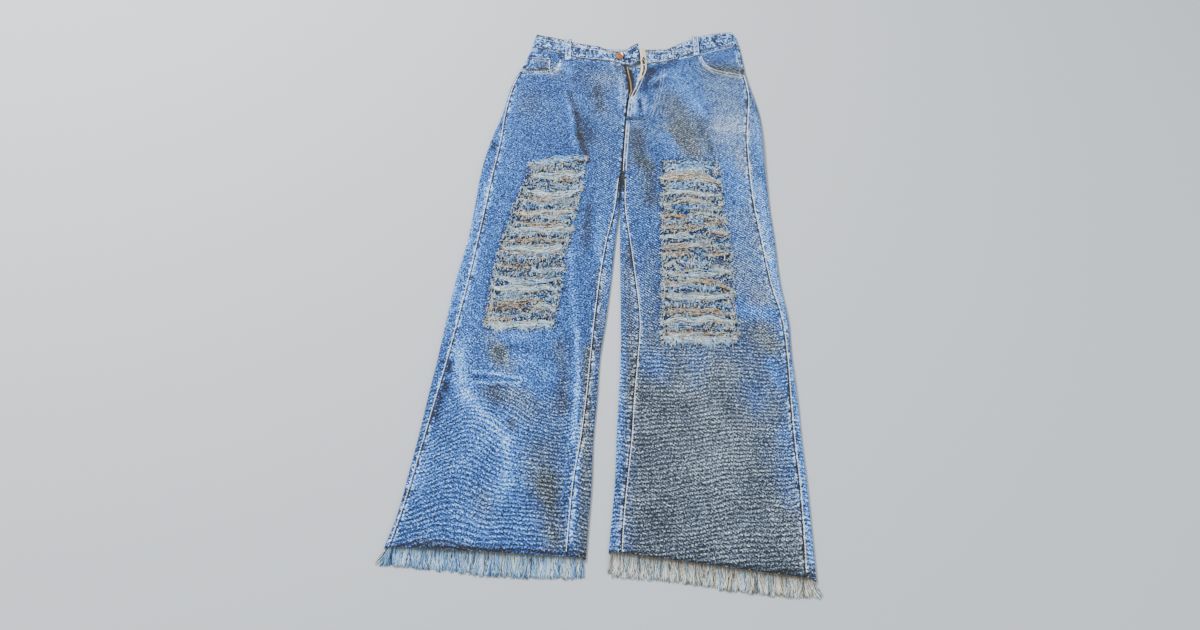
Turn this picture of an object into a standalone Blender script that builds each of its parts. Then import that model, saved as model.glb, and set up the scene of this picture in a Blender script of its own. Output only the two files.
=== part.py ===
"""Ripped wide-leg denim jeans lying flat, front up, fly undone, with frayed hems.

The waist points to +Y, the hems to -Y, and the floor is z = 0. Right and left are the
wearer's: the right leg lies on the -X side. All sizes below are in millimetres.
"""
import math
from collections import namedtuple

import bmesh
import bpy

MM = 0.001
MIDDLE_X, MIDDLE_Y = 1.0, 3.2   # middle of the outline as drawn here, put at the origin

# Cloth and how the layers lie
CLOTH = 1.2             # denim wall
BAND = 2.0              # waistband, two layers of denim
SEAM_GAP = 0.3          # between pieces sewn edge to edge
LAY_GAP = 0.4           # between pieces that lie on each other
LAYER_GAP = 2.6         # air between back and front panel where no fold lifts the front
POCKET_LAYER = 1.0      # patch pockets and back belt loops, under the seat
SEAT_LIFT = POCKET_LAYER + LAY_GAP
SEAT_LIFT_START = 150.0
SEAT_LIFT_END = 200.0
FLY_LIFT = 1.2          # extra height of the fronts over the fly shield and the zip
FLY_LIFT_X = 64.0
FLY_LIFT_REACH = 34.0
FLY_LIFT_START, FLY_LIFT_END = 300.0, 380.0
HIP_LIFT = 1.0          # and over the pocket facings
HIP_LIFT_START, HIP_LIFT_END = 390.0, 440.0
ROLL_RADIUS_LEAST = 2.3
ROLL_TURNS = (90, 40, 0, -40, -90)
SEAT_PITCH = 1.6        # between the last columns of a back panel, flat at the seat seam
CROTCH = 205.0
CURL_START = 192.0      # the inside edge of the back panels is rolled up to here
CURL_END = 224.0        # and lies flat as the seat seam from here

# Waistband, with its button
BAND_WIDTH = 35.0
WAIST_MIDDLE = 72.0
BAND_TIP_PLACES = (57, 63, 70, 78)      # columns of the button end, past the front panel
BAND_TIP_LIFT = 6.0
BAND_SIDE_TURNS = (60, 25, -10, -45, -75)
BUTTON_PLACE = (40.0, 491.0)
BUTTON_RADIUS = 8.5
BUTTON_HEIGHT = 3.4
BUTTON_STEPS = 20

# Frayed hems and rips
FRINGE_STRANDS = 32     # locks along each frayed edge
FRINGE_INSET = 4.0
LOCK_THICK = 0.8
STRIP = 3.0             # width of the woven strip that the locks grow from
STRIP_THICK = 1.0
LOCK_WIDTH = 4.0
FLOOR_CLEARANCE = 0.3
YARN_WIDTH = 3.0
YARN_THICK = 1.0
YARN_ROWS = 13
SLOT_REACH = 40.0       # of the rips' cutters, over and under the panel
SLOT_OUTLINE = ((-1, 0), (-0.55, 0.42), (0.1, 0.5), (0.7, 0.36),
                (1, 0), (0.5, -0.46), (-0.1, -0.5), (-0.65, -0.36))

# Coin pocket
COIN_ROWS = (459, 472, 486, 499)
COIN_COLUMNS = (-131, -118, -105, -94)
COIN_THICK = 0.8

# Fly: shield (underlap), zip tapes and the facing that is turned out
ShieldRow = namedtuple("ShieldRow", "y right")
SHIELD = [ShieldRow(348, 68), ShieldRow(380, 76), ShieldRow(421, 81), ShieldRow(466, 82)]
SHIELD_LEFT = 42.0
SHIELD_HEIGHT = SEAT_LIFT + CLOTH + LAY_GAP
TAPE_THICK = 0.7
TAPE_WIDTH = 11.0
TAPE_HEIGHT = SHIELD_HEIGHT + CLOTH + LAY_GAP
ZIP_ROWS = (346, 372, 388, 404, 425, 448, 470)
ZIP_SHOW_LEAST, ZIP_SHOW = 1.0, 4.0     # of the right tape, beside the panel's edge
ZIP_OPEN_START, ZIP_OPEN_END = 372.0, 404.0
ZIP_LEFT_SHOW = 1.5
SLIDER_PLACE = (61.0, 391.0)
SliderRow = namedtuple("SliderRow", "along half thick")
SLIDER = [SliderRow(-17, 2.0, 0.9), SliderRow(-8, 2.2, 0.9), SliderRow(-7.9, 2.6, 1.8),
          SliderRow(-3, 3.4, 2.2), SliderRow(3, 3.6, 2.2), SliderRow(5, 2.6, 1.6)]
FacingRow = namedtuple("FacingRow", "y left right")
TURNED_FACING = [FacingRow(425, 73, 79), FacingRow(436, 77, 86), FacingRow(447, 80, 91),
                 FacingRow(462, 82, 93), FacingRow(480, 82, 93), FacingRow(498, 81, 92),
                 FacingRow(510, 80, 91)]

# Belt loops: middle and foot of the front ones, ends of the back ones
LOOP_WIDTH, LOOP_THICK = 13.0, 1.2
LOOP_RISE = 4.0         # over the waistband's top edge
LoopPlace = namedtuple("LoopPlace", "x foot")
LOOP_PLACES = {-1: LoopPlace(-60.0, 480.0), 1: LoopPlace(191.5, 494.0)}
LoopEnds = namedtuple("LoopEnds", "low_x low_y top_x top_y")
BACK_LOOPS = {
    "belt_loop_back_right": LoopEnds(-52, 478, -54, 528),
    "belt_loop_back_centre": LoopEnds(72, 470, 72, 514),
    "belt_loop_back_left": LoopEnds(275, 498, 268, 549),
}

# Back pockets: middle and top edge; their sides lean in by 6 mm and then by 30 mm
PocketPlace = namedtuple("PocketPlace", "x top")
BACK_POCKETS = {"back_pocket_right": PocketPlace(-62.0, 392.0),
                "back_pocket_left": PocketPlace(186.0, 392.0)}
POCKET_WIDTH, POCKET_DEPTH = 146.0, 162.0
POCKET_LEAN, POCKET_FOOT_LEAN = 6.0, 30.0
POCKET_CORNER_RISE, POCKET_FOOT_RISE = 25.0, 8.0

# Outline of each leg on the floor. outer and inner are the folded edges; outseam and
# front_inner bound the front panel: below the crotch front_inner is the inseam and
# back_inner the inside fold, above it they are the front edge and the seat seam.
LegRow = namedtuple("LegRow", "y outer outseam front_inner back_inner")
RIGHT_LEG = [
    LegRow(-500, -313, -305, -45, -18),
    LegRow(-440, -299, -292, -41, -14),
    LegRow(-380, -290, -281, -36, -10),
    LegRow(-310, -279, -268, -25, -8),
    LegRow(-240, -270, -255, -17, -2),
    LegRow(-170, -260, -242, -11, 2),
    LegRow(-100, -252, -231, -5, 12),
    LegRow(-20, -242, -219, 4, 21),
    LegRow(60, -227, -208, 16, 29),
    LegRow(130, -220, -199, 31, 36.5),
    LegRow(190, -215, -192, 37.5, 41),
    LegRow(205, -213, -190, 41.4, 41.6),
    LegRow(225, -211, -187, 42.8, 43.2),
    LegRow(285, -199, -179, 47, 51),
    LegRow(338, -183, -175, 51, 58),
    LegRow(385, -174, -168, 55.5, 64),
    LegRow(410, -169, -163, 59, 66),
    LegRow(440, -160, -154, 55, 69),
    LegRow(475, -145, -139, 50, 71),
    LegRow(520, -131, -125, 46, 72),
]
LEFT_LEG = [
    LegRow(-520, 313, 296, 31, 13),
    LegRow(-440, 314, 301, 36, 20),
    LegRow(-380, 315, 303, 42, 25),
    LegRow(-310, 314, 302, 50, 28),
    LegRow(-240, 315, 303, 55, 32),
    LegRow(-170, 313, 305, 62, 36),
    LegRow(-100, 314, 303, 67, 37),
    LegRow(-20, 307, 289, 61, 37),
    LegRow(60, 306, 282, 53, 37),
    LegRow(130, 303, 275, 45, 38),
    LegRow(190, 302, 272, 46, 42),
    LegRow(205, 302, 272, 43.0, 42.2),
    LegRow(225, 302, 272, 43.2, 43.5),
    LegRow(285, 303, 273, 47.3, 51.3),
    LegRow(338, 303, 279, 51.5, 58.3),
    LegRow(385, 296, 284, 58, 64.3),
    LegRow(413, 290, 283, 68, 66.3),
    LegRow(447, 284, 278, 80, 69.3),
    LegRow(481, 281, 275, 86, 71.3),
    LegRow(520, 277, 271, 88, 72.3),
]

# Level lines of the panels, hem to waist. The end ones bend to the hem and the top edge.
HEM_LEVELS = (-500, -475, -450, -425)
LEG_LEVELS = (-400, -371, -342, -313, -284, -255, -226, -197, -168, -139, -110, -81, -52,
              -23, 6, 35, 64, 93, 122, 151, 175, 192, 203, 214, 226)
HIP_LEVELS = (248, 272, 296, 320, 342, 362, 380)
FRONT_TOP_LEVELS = (400, 420, 440, 460, 480, 500)
YOKE_LEVELS = (455, 476, 497, 518)
HEM_BEND, TOP_BEND = LEG_LEVELS[0], HIP_LEVELS[-1]
FRONT_SPREAD = (0, .09, .18, .26, .32, .36, .385, .42, .5, .58, .67, .75, .83, .91, 1)
BOTTOM_SPREAD = (.25, .5, .75)

# Hem lines, from the outside fold to the inside fold
HemEnds = namedtuple("HemEnds", "outer_x outer_y inner_x inner_y outer_fringe inner_fringe")
RIGHT_HEM = HemEnds(-313, -483, -18, -500, 19, 25)
LEFT_HEM = HemEnds(313, -531, 13, -490, 22, 30)

# Top edges of the front panels: scooped pocket opening, then the waistband's lower seam
EdgePoint = namedtuple("EdgePoint", "x y")
RIGHT_POCKET_EDGE = [EdgePoint(-160, 452), EdgePoint(-116, 453), EdgePoint(-93, 456),
                     EdgePoint(-82, 465), EdgePoint(-76, 482), EdgePoint(-73, 500)]
LEFT_POCKET_EDGE = [EdgePoint(199, 507), EdgePoint(204, 485), EdgePoint(211, 469),
                    EdgePoint(222, 459), EdgePoint(245, 452), EdgePoint(290, 443)]
# Lower seam and top edge of the waistband, front and back
FRONT_SEAM_RIGHT = [EdgePoint(-132, 518), EdgePoint(-124, 518), EdgePoint(-102, 513),
                    EdgePoint(-74, 504), EdgePoint(-54, 494), EdgePoint(-37, 488),
                    EdgePoint(20, 481), EdgePoint(50, 471), EdgePoint(63, 468),
                    EdgePoint(78, 478)]
FRONT_TOP_RIGHT = [EdgePoint(-132, 553), EdgePoint(-103, 547), EdgePoint(-75, 539),
                   EdgePoint(-47, 529), EdgePoint(0, 520), EdgePoint(25, 505),
                   EdgePoint(50, 505), EdgePoint(66, 517), EdgePoint(78, 521)]
FRONT_SEAM_LEFT = [EdgePoint(86, 472), EdgePoint(102, 474), EdgePoint(139, 480),
                   EdgePoint(169, 495), EdgePoint(198, 510), EdgePoint(231, 519),
                   EdgePoint(269, 521), EdgePoint(280, 521)]
FRONT_TOP_LEFT = [EdgePoint(86, 509), EdgePoint(110, 508), EdgePoint(135, 511),
                  EdgePoint(161, 528), EdgePoint(201, 546), EdgePoint(234, 556),
                  EdgePoint(280, 558)]
BACK_TOP = [EdgePoint(-132, 553), EdgePoint(-103, 546), EdgePoint(-75, 536),
            EdgePoint(-40, 525), EdgePoint(0, 518), EdgePoint(50, 515.5), EdgePoint(100, 515.5),
            EdgePoint(160, 519), EdgePoint(200, 529), EdgePoint(240, 547), EdgePoint(280, 558)]
SIDE_SEAM_TOP = {-1: 518.0, 1: 521.0}
FRONT_TOP_ENDS = {-1: (-152.0, 50.4), 1: (280.0, 85.8)}     # x, side seam to fly
BAND_SIDE_LEAN = {-1: 8.0, 1: -10.0}
BAND_LEAN_REACH = {-1: (-75.0, -128.0), 1: (200.0, 272.0)}
# Seam between yoke and back panel: a V, level again near the side seams
YOKE_SIDE, YOKE_CENTRE = 455.0, 410.0
YOKE_MIDDLE, YOKE_REACH = 68.0, 200.0
YOKE_SIDE_START, YOKE_SIDE_END, YOKE_HALF_WIDTH = 0.86, 0.97, 205.0

# Folds and puffs of the fronts: each a ridge or a trough along a line
Fold = namedtuple("Fold", "x0 y0 x1 y1 width height")
FOLDS = [
    # waist and hips
    Fold(-50, 470, -38, 260, 16, 3.2),
    Fold(-25, 480, -12, 330, 14, -1.6),
    Fold(-110, 430, -60, 290, 26, 2.2),
    Fold(-165, 400, -150, 250, 16, 2.0),
    Fold(20, 450, 25, 300, 14, 2.2),
    Fold(62, 392, 60, 384, 14, 2.6),
    Fold(95, 460, 100, 330, 13, 2.6),
    Fold(125, 440, 175, 300, 20, 2.4),
    Fold(175, 400, 250, 210, 18, 2.8),
    Fold(215, 430, 262, 260, 20, 2.0),
    Fold(268, 300, 266, 150, 14, 2.0),
    Fold(50, 340, 66, 230, 10, 2.0),
    # thighs, beside the ladders
    Fold(-10, 250, -22, 40, 13, 2.6),
    Fold(18, 180, -14, -40, 10, 2.2),
    Fold(-180, 200, -205, 20, 16, 2.2),
    Fold(-150, 215, -60, 190, 14, 2.6),
    Fold(70, 260, 84, 60, 13, 2.4),
    Fold(110, 235, 200, 250, 16, 3.0),
    Fold(245, 160, 262, -60, 14, 2.4),
    # knees and shins
    Fold(-215, -190, -110, -215, 14, 2.6),
    Fold(-210, -235, -130, -250, 12, -1.8),
    Fold(-160, -130, -185, -330, 18, 2.0),
    Fold(-70, -150, -60, -400, 18, 2.4),
    Fold(-230, -120, -268, -420, 13, 2.4),
    Fold(-120, -300, -150, -490, 22, 2.2),
    Fold(225, -40, 300, -95, 16, 3.2),
    Fold(240, -150, 295, -190, 12, 2.4),
    Fold(95, -170, 110, -420, 18, 2.0),
    Fold(190, -180, 200, -460, 26, 2.4),
    Fold(275, -220, 283, -470, 14, 2.2),
]

# Rips: slots cut across the fronts, each a pointed lens from x0 to x1
Slot = namedtuple("Slot", "y x0 x1 tilt height")
RIGHT_SLOTS = [
    Slot(208, -117, -93, -2, 8), Slot(212, -90, -32, 6, 8), Slot(189, -107, -75, -2, 6),
    Slot(164, -62, -36, 5, 5), Slot(139, -78, -40, 4, 9), Slot(121, -72, -48, 1, 5),
    Slot(98, -93, -62, 3, 5), Slot(77, -143, -124, -2, 5), Slot(77, -78, -60, 0, 5),
    Slot(63, -96, -70, 0, 6), Slot(40, -112, -60, 2, 5), Slot(24, -100, -78, 0, 5),
    Slot(15, -156, -128, -2, 5), Slot(3, -108, -72, 4, 6), Slot(-15, -107, -70, 2, 9),
    Slot(-28, -150, -118, -2, 5), Slot(-46, -132, -98, 3, 5), Slot(-74, -162, -128, 0, 4.5),
    Slot(-86, -107, -74, 0, 7),
]
LEFT_SLOTS = [
    Slot(203, 136, 198, -2, 14), Slot(151, 144, 166, 0, 5), Slot(147, 168, 203, -5, 11),
    Slot(118, 164, 186, 0, 8), Slot(109, 124, 156, -2, 4.5), Slot(93, 158, 186, 0, 5),
    Slot(79, 194, 215, -3, 6), Slot(60, 162, 200, 0, 15), Slot(39, 202, 220, 0, 8),
    Slot(30, 170, 204, -16, 10), Slot(14, 158, 180, 0, 11), Slot(4, 187, 217, 0, 18),
    Slot(0, 136, 152, 0, 6), Slot(-20, 146, 192, 0, 11), Slot(-47, 146, 174, -2, 6),
    Slot(-79, 132, 194, 1, 9), Slot(-94, 164, 192, 2, 4.5), Slot(-109, 116, 139, -2, 12),
    Slot(-124, 142, 172, 2, 4.5),
]
# Long sides of the two ladders of rips, top to bottom
LadderEdge = namedtuple("LadderEdge", "y start end")
RIGHT_LADDER = [LadderEdge(232, -118, -26), LadderEdge(136, -148, -40),
                LadderEdge(60, -168, -56), LadderEdge(-22, -180, -64),
                LadderEdge(-116, -186, -74)]
LEFT_LADDER = [LadderEdge(236, 118, 216), LadderEdge(130, 113, 221),
               LadderEdge(20, 109, 227), LadderEdge(-80, 106, 224),
               LadderEdge(-148, 104, 228)]

# Faceted surfaces that other pieces lie on, filled as they are needed
FRONT_SURFACE = {}
FACING_SURFACE = {}


def clear_scene():
    """Take out everything that the file opens with."""
    for item in list(bpy.data.objects):
        bpy.data.objects.remove(item, do_unlink=True)


def srgb(value):
    """One sRGB channel, 0 to 255, as linear light."""
    value = value / 255.0
    return value / 12.92 if value <= 0.04045 else ((value + 0.055) / 1.055) ** 2.4


def make_material(name, colour, roughness, metallic=0.0):
    """Principled material of one finish."""
    material = bpy.data.materials.new(name)
    material.use_nodes = True
    shader = material.node_tree.nodes["Principled BSDF"]
    shader.inputs["Base Color"].default_value = (*(srgb(c) for c in colour), 1.0)
    shader.inputs["Roughness"].default_value = roughness
    shader.inputs["Metallic"].default_value = metallic
    return material


def smooth_step(start, end, value):
    """0 before start, 1 after end, and an easy curve between."""
    share = min(1.0, max(0.0, (value - start) / (end - start)))
    return share * share * (3.0 - 2.0 * share)


def read_row(rows, column, at):
    """Column's value at `at`, on a smooth curve through rows sorted by their first column."""
    keys = [row[0] for row in rows]
    values = [getattr(row, column) for row in rows]
    if keys[0] > keys[-1]:
        keys.reverse()
        values.reverse()
    if at <= keys[0]:
        return float(values[0])
    if at >= keys[-1]:
        return float(values[-1])
    i = max(k for k in range(len(keys) - 1) if keys[k] <= at)

    def slope(k):
        low, high = max(0, k - 1), min(len(keys) - 1, k + 1)
        return (values[high] - values[low]) / (keys[high] - keys[low])

    span = keys[i + 1] - keys[i]
    t = (at - keys[i]) / span
    bend = (values[i] * (1 + 2 * t) * (1 - t) ** 2 + slope(i) * span * t * (1 - t) ** 2
            + values[i + 1] * t * t * (3 - 2 * t) - slope(i + 1) * span * t * t * (1 - t))
    return bend


def edge_height(points, x):
    """Y of an edge at x, straight between its points."""
    if x <= points[0].x:
        return float(points[0].y)
    for first, second in zip(points, points[1:]):
        if x <= second.x:
            return first.y + (second.y - first.y) * (x - first.x) / (second.x - first.x)
    return float(points[-1].y)


def leg_rows(side):
    """Outline table of the right (-1) or left (1) leg."""
    return RIGHT_LEG if side < 0 else LEFT_LEG


def hem_line(side, x):
    """Y of the cut hem at x."""
    hem = RIGHT_HEM if side < 0 else LEFT_HEM
    share = (x - hem.outer_x) / (hem.inner_x - hem.outer_x)
    return hem.outer_y + (hem.inner_y - hem.outer_y) * share


def seat_base(y):
    """Underside of the back panels: on the floor, and on the pockets at the seat."""
    return SEAT_LIFT * smooth_step(SEAT_LIFT_START, SEAT_LIFT_END, y)


def fold_lift(x, y):
    """How far the folds lift or lower the front panels here."""
    lift = 0.0
    for fold in FOLDS:
        run_x, run_y = fold.x1 - fold.x0, fold.y1 - fold.y0
        length = math.hypot(run_x, run_y)
        along = ((x - fold.x0) * run_x + (y - fold.y0) * run_y) / length
        across = ((x - fold.x0) * run_y - (y - fold.y0) * run_x) / length
        beyond = max(0.0, -along, along - length)
        lift += fold.height * math.exp(-(across ** 2 + beyond ** 2) / fold.width ** 2)
    return lift


def front_under(x, y):
    """Height of the front panels' underside at a place on the floor plan."""
    fly = FLY_LIFT * smooth_step(FLY_LIFT_START, FLY_LIFT_END, y)
    fly *= math.exp(-((x - FLY_LIFT_X) / FLY_LIFT_REACH) ** 2)
    hip = HIP_LIFT * smooth_step(HIP_LIFT_START, HIP_LIFT_END, y)
    gap = max(LAY_GAP + 0.5, LAYER_GAP + fold_lift(x, y)) + fly + hip
    return seat_base(y) + CLOTH + gap


def front_top_edge(side, x):
    """Y of the front panel's top edge: the pocket opening, then the waist seam."""
    if side < 0:
        seam = edge_height(FRONT_SEAM_RIGHT, x) - SEAM_GAP
        in_pocket = x < RIGHT_POCKET_EDGE[-1].x
        return min(seam, edge_height(RIGHT_POCKET_EDGE, x)) if in_pocket else seam
    seam = edge_height(FRONT_SEAM_LEFT, x) - SEAM_GAP
    in_pocket = x > LEFT_POCKET_EDGE[0].x
    return min(seam, edge_height(LEFT_POCKET_EDGE, x)) if in_pocket else seam


def bend_level(side, level, x, top_level, top_y):
    """Y of a level line at x, bent to the hem at one end and the top edge at the other."""
    if level < HEM_BEND:
        share = (HEM_BEND - level) / (HEM_BEND - HEM_LEVELS[0])
        return HEM_BEND + (hem_line(side, x) - HEM_BEND) * share
    if level > TOP_BEND:
        share = (level - TOP_BEND) / (top_level - TOP_BEND)
        return TOP_BEND + (top_y - TOP_BEND) * share
    return level


def finish_object(name, build, material, smooth=True):
    """Object from a bmesh in millimetres: faces turned out, centred, put into metres."""
    bmesh.ops.recalc_face_normals(build, faces=build.faces)
    bmesh.ops.triangulate(build, faces=build.faces)
    bmesh.ops.translate(build, vec=(-MIDDLE_X, -MIDDLE_Y, 0), verts=build.verts)
    bmesh.ops.scale(build, vec=(MM, MM, MM), verts=build.verts)
    mesh = bpy.data.meshes.new(name)
    build.to_mesh(mesh)
    build.free()
    if smooth:
        mesh.shade_smooth()
        mesh.set_sharp_from_angle(angle=math.radians(40))
    piece = bpy.data.objects.new(name, mesh)
    piece.data.materials.append(material)
    bpy.context.scene.collection.objects.link(piece)
    return piece


def wall_from_grids(name, outside, inside, material):
    """Closed wall between two grids of points that have the same rows and columns."""
    build = bmesh.new()
    rows, columns = len(outside), len(outside[0])
    out = [[build.verts.new(p) for p in row] for row in outside]
    inn = [[build.verts.new(p) for p in row] for row in inside]
    for i in range(rows - 1):
        for j in range(columns - 1):
            build.faces.new((out[i][j], out[i][j + 1], out[i + 1][j + 1], out[i + 1][j]))
            build.faces.new((inn[i][j], inn[i + 1][j], inn[i + 1][j + 1], inn[i][j + 1]))
    rim = [(i, 0) for i in range(rows - 1)]
    rim += [(rows - 1, j) for j in range(columns - 1)]
    rim += [(i, columns - 1) for i in range(rows - 1, 0, -1)]
    rim += [(0, j) for j in range(columns - 1, 0, -1)]
    for (i, j), (k, m) in zip(rim, rim[1:] + rim[:1]):
        build.faces.new((out[i][j], out[k][m], inn[k][m], inn[i][j]))
    return finish_object(name, build, material)


def front_grid(side):
    """Plan places of the front panel's points, rows from hem to top."""
    rows = leg_rows(side)
    levels = HEM_LEVELS + LEG_LEVELS + HIP_LEVELS + FRONT_TOP_LEVELS
    top_level = FRONT_TOP_LEVELS[-1]
    grid = []
    for level in levels:
        line = []
        for share in FRONT_SPREAD:
            top_x = front_top_x(side, share)
            y = level
            if level > TOP_BEND:
                y = bend_level(side, level, top_x, top_level, front_top_edge(side, top_x))
            outside = read_row(rows, "outseam", y) - side * SEAM_GAP
            inside = read_row(rows, "front_inner", y)
            inside += side * SEAM_GAP * (1.0 if y < CROTCH else 0.5)
            x = outside + (inside - outside) * share
            if 0 < share < 1:
                x += (top_x - x) * smooth_step(TOP_BEND, top_level, level)
            line.append((x, bend_level(side, y, x, top_level, y) if y < HEM_BEND else y))
        grid.append(line)
    return grid


def front_top_x(side, share):
    """X of a front panel column at its top edge."""
    outside, inside = FRONT_TOP_ENDS[side]
    return outside + (inside - outside) * share


def build_front(side, material):
    """Front panel, with its ladder of rips cut through."""
    name = "front_right" if side < 0 else "front_left"
    grid = front_grid(side)
    under = [[(x, y, front_under(x, y)) for x, y in row] for row in grid]
    upper = [[(x, y, z + CLOTH) for x, y, z in row] for row in under]
    panel = wall_from_grids(name, upper, under, material)
    cut_slots(panel, RIGHT_SLOTS if side < 0 else LEFT_SLOTS)
    return panel


def cut_slots(panel, slots):
    """Cut each rip through the panel as a pointed lens."""
    build = bmesh.new()
    for slot in slots:
        middle, half = (slot.x0 + slot.x1) / 2, (slot.x1 - slot.x0) / 2
        plan = [(middle + half * u, slot.y + slot.tilt * u / 2 + slot.height * v)
                for u, v in SLOT_OUTLINE]
        low = [build.verts.new((x, y, -SLOT_REACH)) for x, y in plan]
        high = [build.verts.new((x, y, SLOT_REACH)) for x, y in plan]
        build.faces.new(low)
        build.faces.new(high)
        for i in range(len(plan)):
            k = (i + 1) % len(plan)
            build.faces.new((low[i], low[k], high[k], high[i]))
    cutter = finish_object(panel.name + "_slot_cutter", build, panel.data.materials[0], False)
    cutter.hide_render = True
    cutter.display_type = "WIRE"
    cut = panel.modifiers.new("Rips", "BOOLEAN")
    cut.operation = "DIFFERENCE"
    cut.solver = "EXACT"
    cut.object = cutter


def roll_points(fold_x, seam_x, outward, base, top):
    """Outer and inner points of one rolled edge, from the seam on top to the bottom."""
    radius_z = (top - base) / 2
    radius_x = min(radius_z, 0.8 * abs(fold_x - seam_x))
    radius_x = max(radius_x, ROLL_RADIUS_LEAST)
    centre = fold_x - outward * radius_x
    outer, inner = [(seam_x, top)], [(seam_x, top - CLOTH)]
    for turn in ROLL_TURNS:
        c, s = math.cos(math.radians(turn)), math.sin(math.radians(turn))
        outer.append((centre + outward * radius_x * c, base + radius_z * (1 + s)))
        inner.append((centre + outward * (radius_x - CLOTH) * c,
                      base + radius_z + (radius_z - CLOTH) * s))
    return outer, inner


def back_section(side, y):
    """Outer and inner points across one back panel at a level, outseam to inner edge."""
    rows = leg_rows(side)
    outer_x, seam_x = read_row(rows, "outer", y), read_row(rows, "outseam", y)
    inner_x, inseam_x = read_row(rows, "back_inner", y), read_row(rows, "front_inner", y)
    base = seat_base(y)
    top = front_under(seam_x, y) + CLOTH
    top -= (CLOTH + LAY_GAP) * smooth_step(430, 460, y)
    outer, inner = roll_points(outer_x, seam_x, side, base, top)
    curl = 1.0 - smooth_step(CURL_START, CURL_END, y)
    in_top = front_under(inseam_x, y) + CLOTH
    edge_out, edge_in = roll_points(inner_x, inseam_x, -side, base, in_top)
    edge_out.reverse()
    edge_in.reverse()
    seat_seam = inner_x + side * SEAM_GAP / 2
    count = len(edge_out)
    for k in range(count):
        flat_x = seat_seam + side * SEAT_PITCH * (count - 1 - k)
        x, z = edge_out[k]
        edge_out[k] = (x * curl + flat_x * (1 - curl), z * curl + base * (1 - curl))
        x, z = edge_in[k]
        edge_in[k] = (x * curl + flat_x * (1 - curl), z * curl + (base + CLOTH) * (1 - curl))
    start, end = outer[-1][0], edge_out[0][0]
    for share in BOTTOM_SPREAD:
        x = start + (end - start) * share
        outer.append((x, base))
        inner.append((x, base + CLOTH))
    return outer + edge_out, inner + edge_in


def yoke_line(x):
    """Y of the seam between yoke and back panel at x."""
    share = min(1.0, abs(x - YOKE_MIDDLE) / YOKE_REACH)
    return YOKE_CENTRE + (YOKE_SIDE - YOKE_CENTRE) * share


def back_band_edge(x):
    """Y of the waistband's lower seam on the back."""
    return edge_height(BACK_TOP, x) - BAND_WIDTH


def back_levels(side):
    """Level lines of the back panel, at the same places on the outseam as the front's."""
    pocket_y = front_top_edge(side, front_top_x(side, 0))
    top = [TOP_BEND + (pocket_y - TOP_BEND) * (level - TOP_BEND)
           / (FRONT_TOP_LEVELS[-1] - TOP_BEND) for level in FRONT_TOP_LEVELS]
    return list(HEM_LEVELS + LEG_LEVELS + HIP_LEVELS) + top + [YOKE_SIDE]


def build_back(side, material):
    """Back panel: flat on the floor, both edges rolled up on top to the seams."""
    name = "back_right" if side < 0 else "back_left"
    outside, inside = [], []
    for level in back_levels(side):
        outer, inner = back_section(side, level)
        places = [bend_level(side, level, x, YOKE_SIDE, yoke_line(x) - SEAM_GAP / 2)
                  for x, z in outer]
        outside.append([(x, y, z) for (x, z), y in zip(outer, places)])
        inside.append([(x, y, z) for (x, z), y in zip(inner, places)])
    return wall_from_grids(name, outside, inside, material)


def yoke_top(side, x):
    """Y of the yoke's top edge: just under the waistband all round."""
    share = smooth_step(YOKE_SIDE_START, YOKE_SIDE_END, abs(x - WAIST_MIDDLE) / YOKE_HALF_WIDTH)
    return back_band_edge(x) * (1 - share) + SIDE_SEAM_TOP[side] * share - SEAM_GAP


def build_yoke(side, material):
    """Yoke: the V-shaped piece between the back panel and the waistband."""
    name = "yoke_right" if side < 0 else "yoke_left"
    outside, inside = [], []
    first, last = YOKE_LEVELS[0], YOKE_LEVELS[-1]
    for level in YOKE_LEVELS:
        outer, inner = back_section(side, level)
        share = (level - first) / (last - first)
        places = []
        for x, z in outer:
            low = yoke_line(x) + SEAM_GAP / 2
            places.append(low + (yoke_top(side, x) - low) * share)
        outside.append([(x, y, z) for (x, z), y in zip(outer, places)])
        inside.append([(x, y, z) for (x, z), y in zip(inner, places)])
    return wall_from_grids(name, outside, inside, material)


def triangle_height(corners, x, y):
    """Height of a triangle at a plan place, or None beside it."""
    (ax, ay, az), (bx, by, bz), (cx, cy, cz) = corners
    area = (bx - ax) * (cy - ay) - (cx - ax) * (by - ay)
    if abs(area) < 1e-9:
        return None
    u = ((bx - x) * (cy - y) - (cx - x) * (by - y)) / area
    v = ((cx - x) * (ay - y) - (ax - x) * (cy - y)) / area
    w = 1.0 - u - v
    if min(u, v, w) < -1e-6:
        return None
    return u * az + v * bz + w * cz


class Surface:
    """Faceted height of a panel, so that what lies on it keeps clear of its flat facets."""

    def __init__(self, grid):
        self.cells = []
        for low, high in zip(grid, grid[1:]):
            for j in range(len(low) - 1):
                cell = (low[j], low[j + 1], high[j + 1], high[j])
                xs, ys = [p[0] for p in cell], [p[1] for p in cell]
                self.cells.append((min(xs), max(xs), min(ys), max(ys), cell))

    def highest(self, x, y, otherwise):
        """Height at a plan place by the higher of a cell's two diagonals."""
        found = []
        for x0, x1, y0, y1, (a, b, c, d) in self.cells:
            if x0 <= x <= x1 and y0 <= y <= y1:
                for corners in ((a, b, c), (a, c, d), (a, b, d), (b, c, d)):
                    height = triangle_height(corners, x, y)
                    if height is not None:
                        found.append(height)
        return max(found) if found else otherwise


def front_top(side, x, y):
    """Height of the front panel's outer face."""
    if side not in FRONT_SURFACE:
        grid = [[(px, py, front_under(px, py) + CLOTH) for px, py in row]
                for row in front_grid(side)]
        FRONT_SURFACE[side] = Surface(grid)
    return FRONT_SURFACE[side].highest(x, y, front_under(x, y) + CLOTH)


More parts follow.
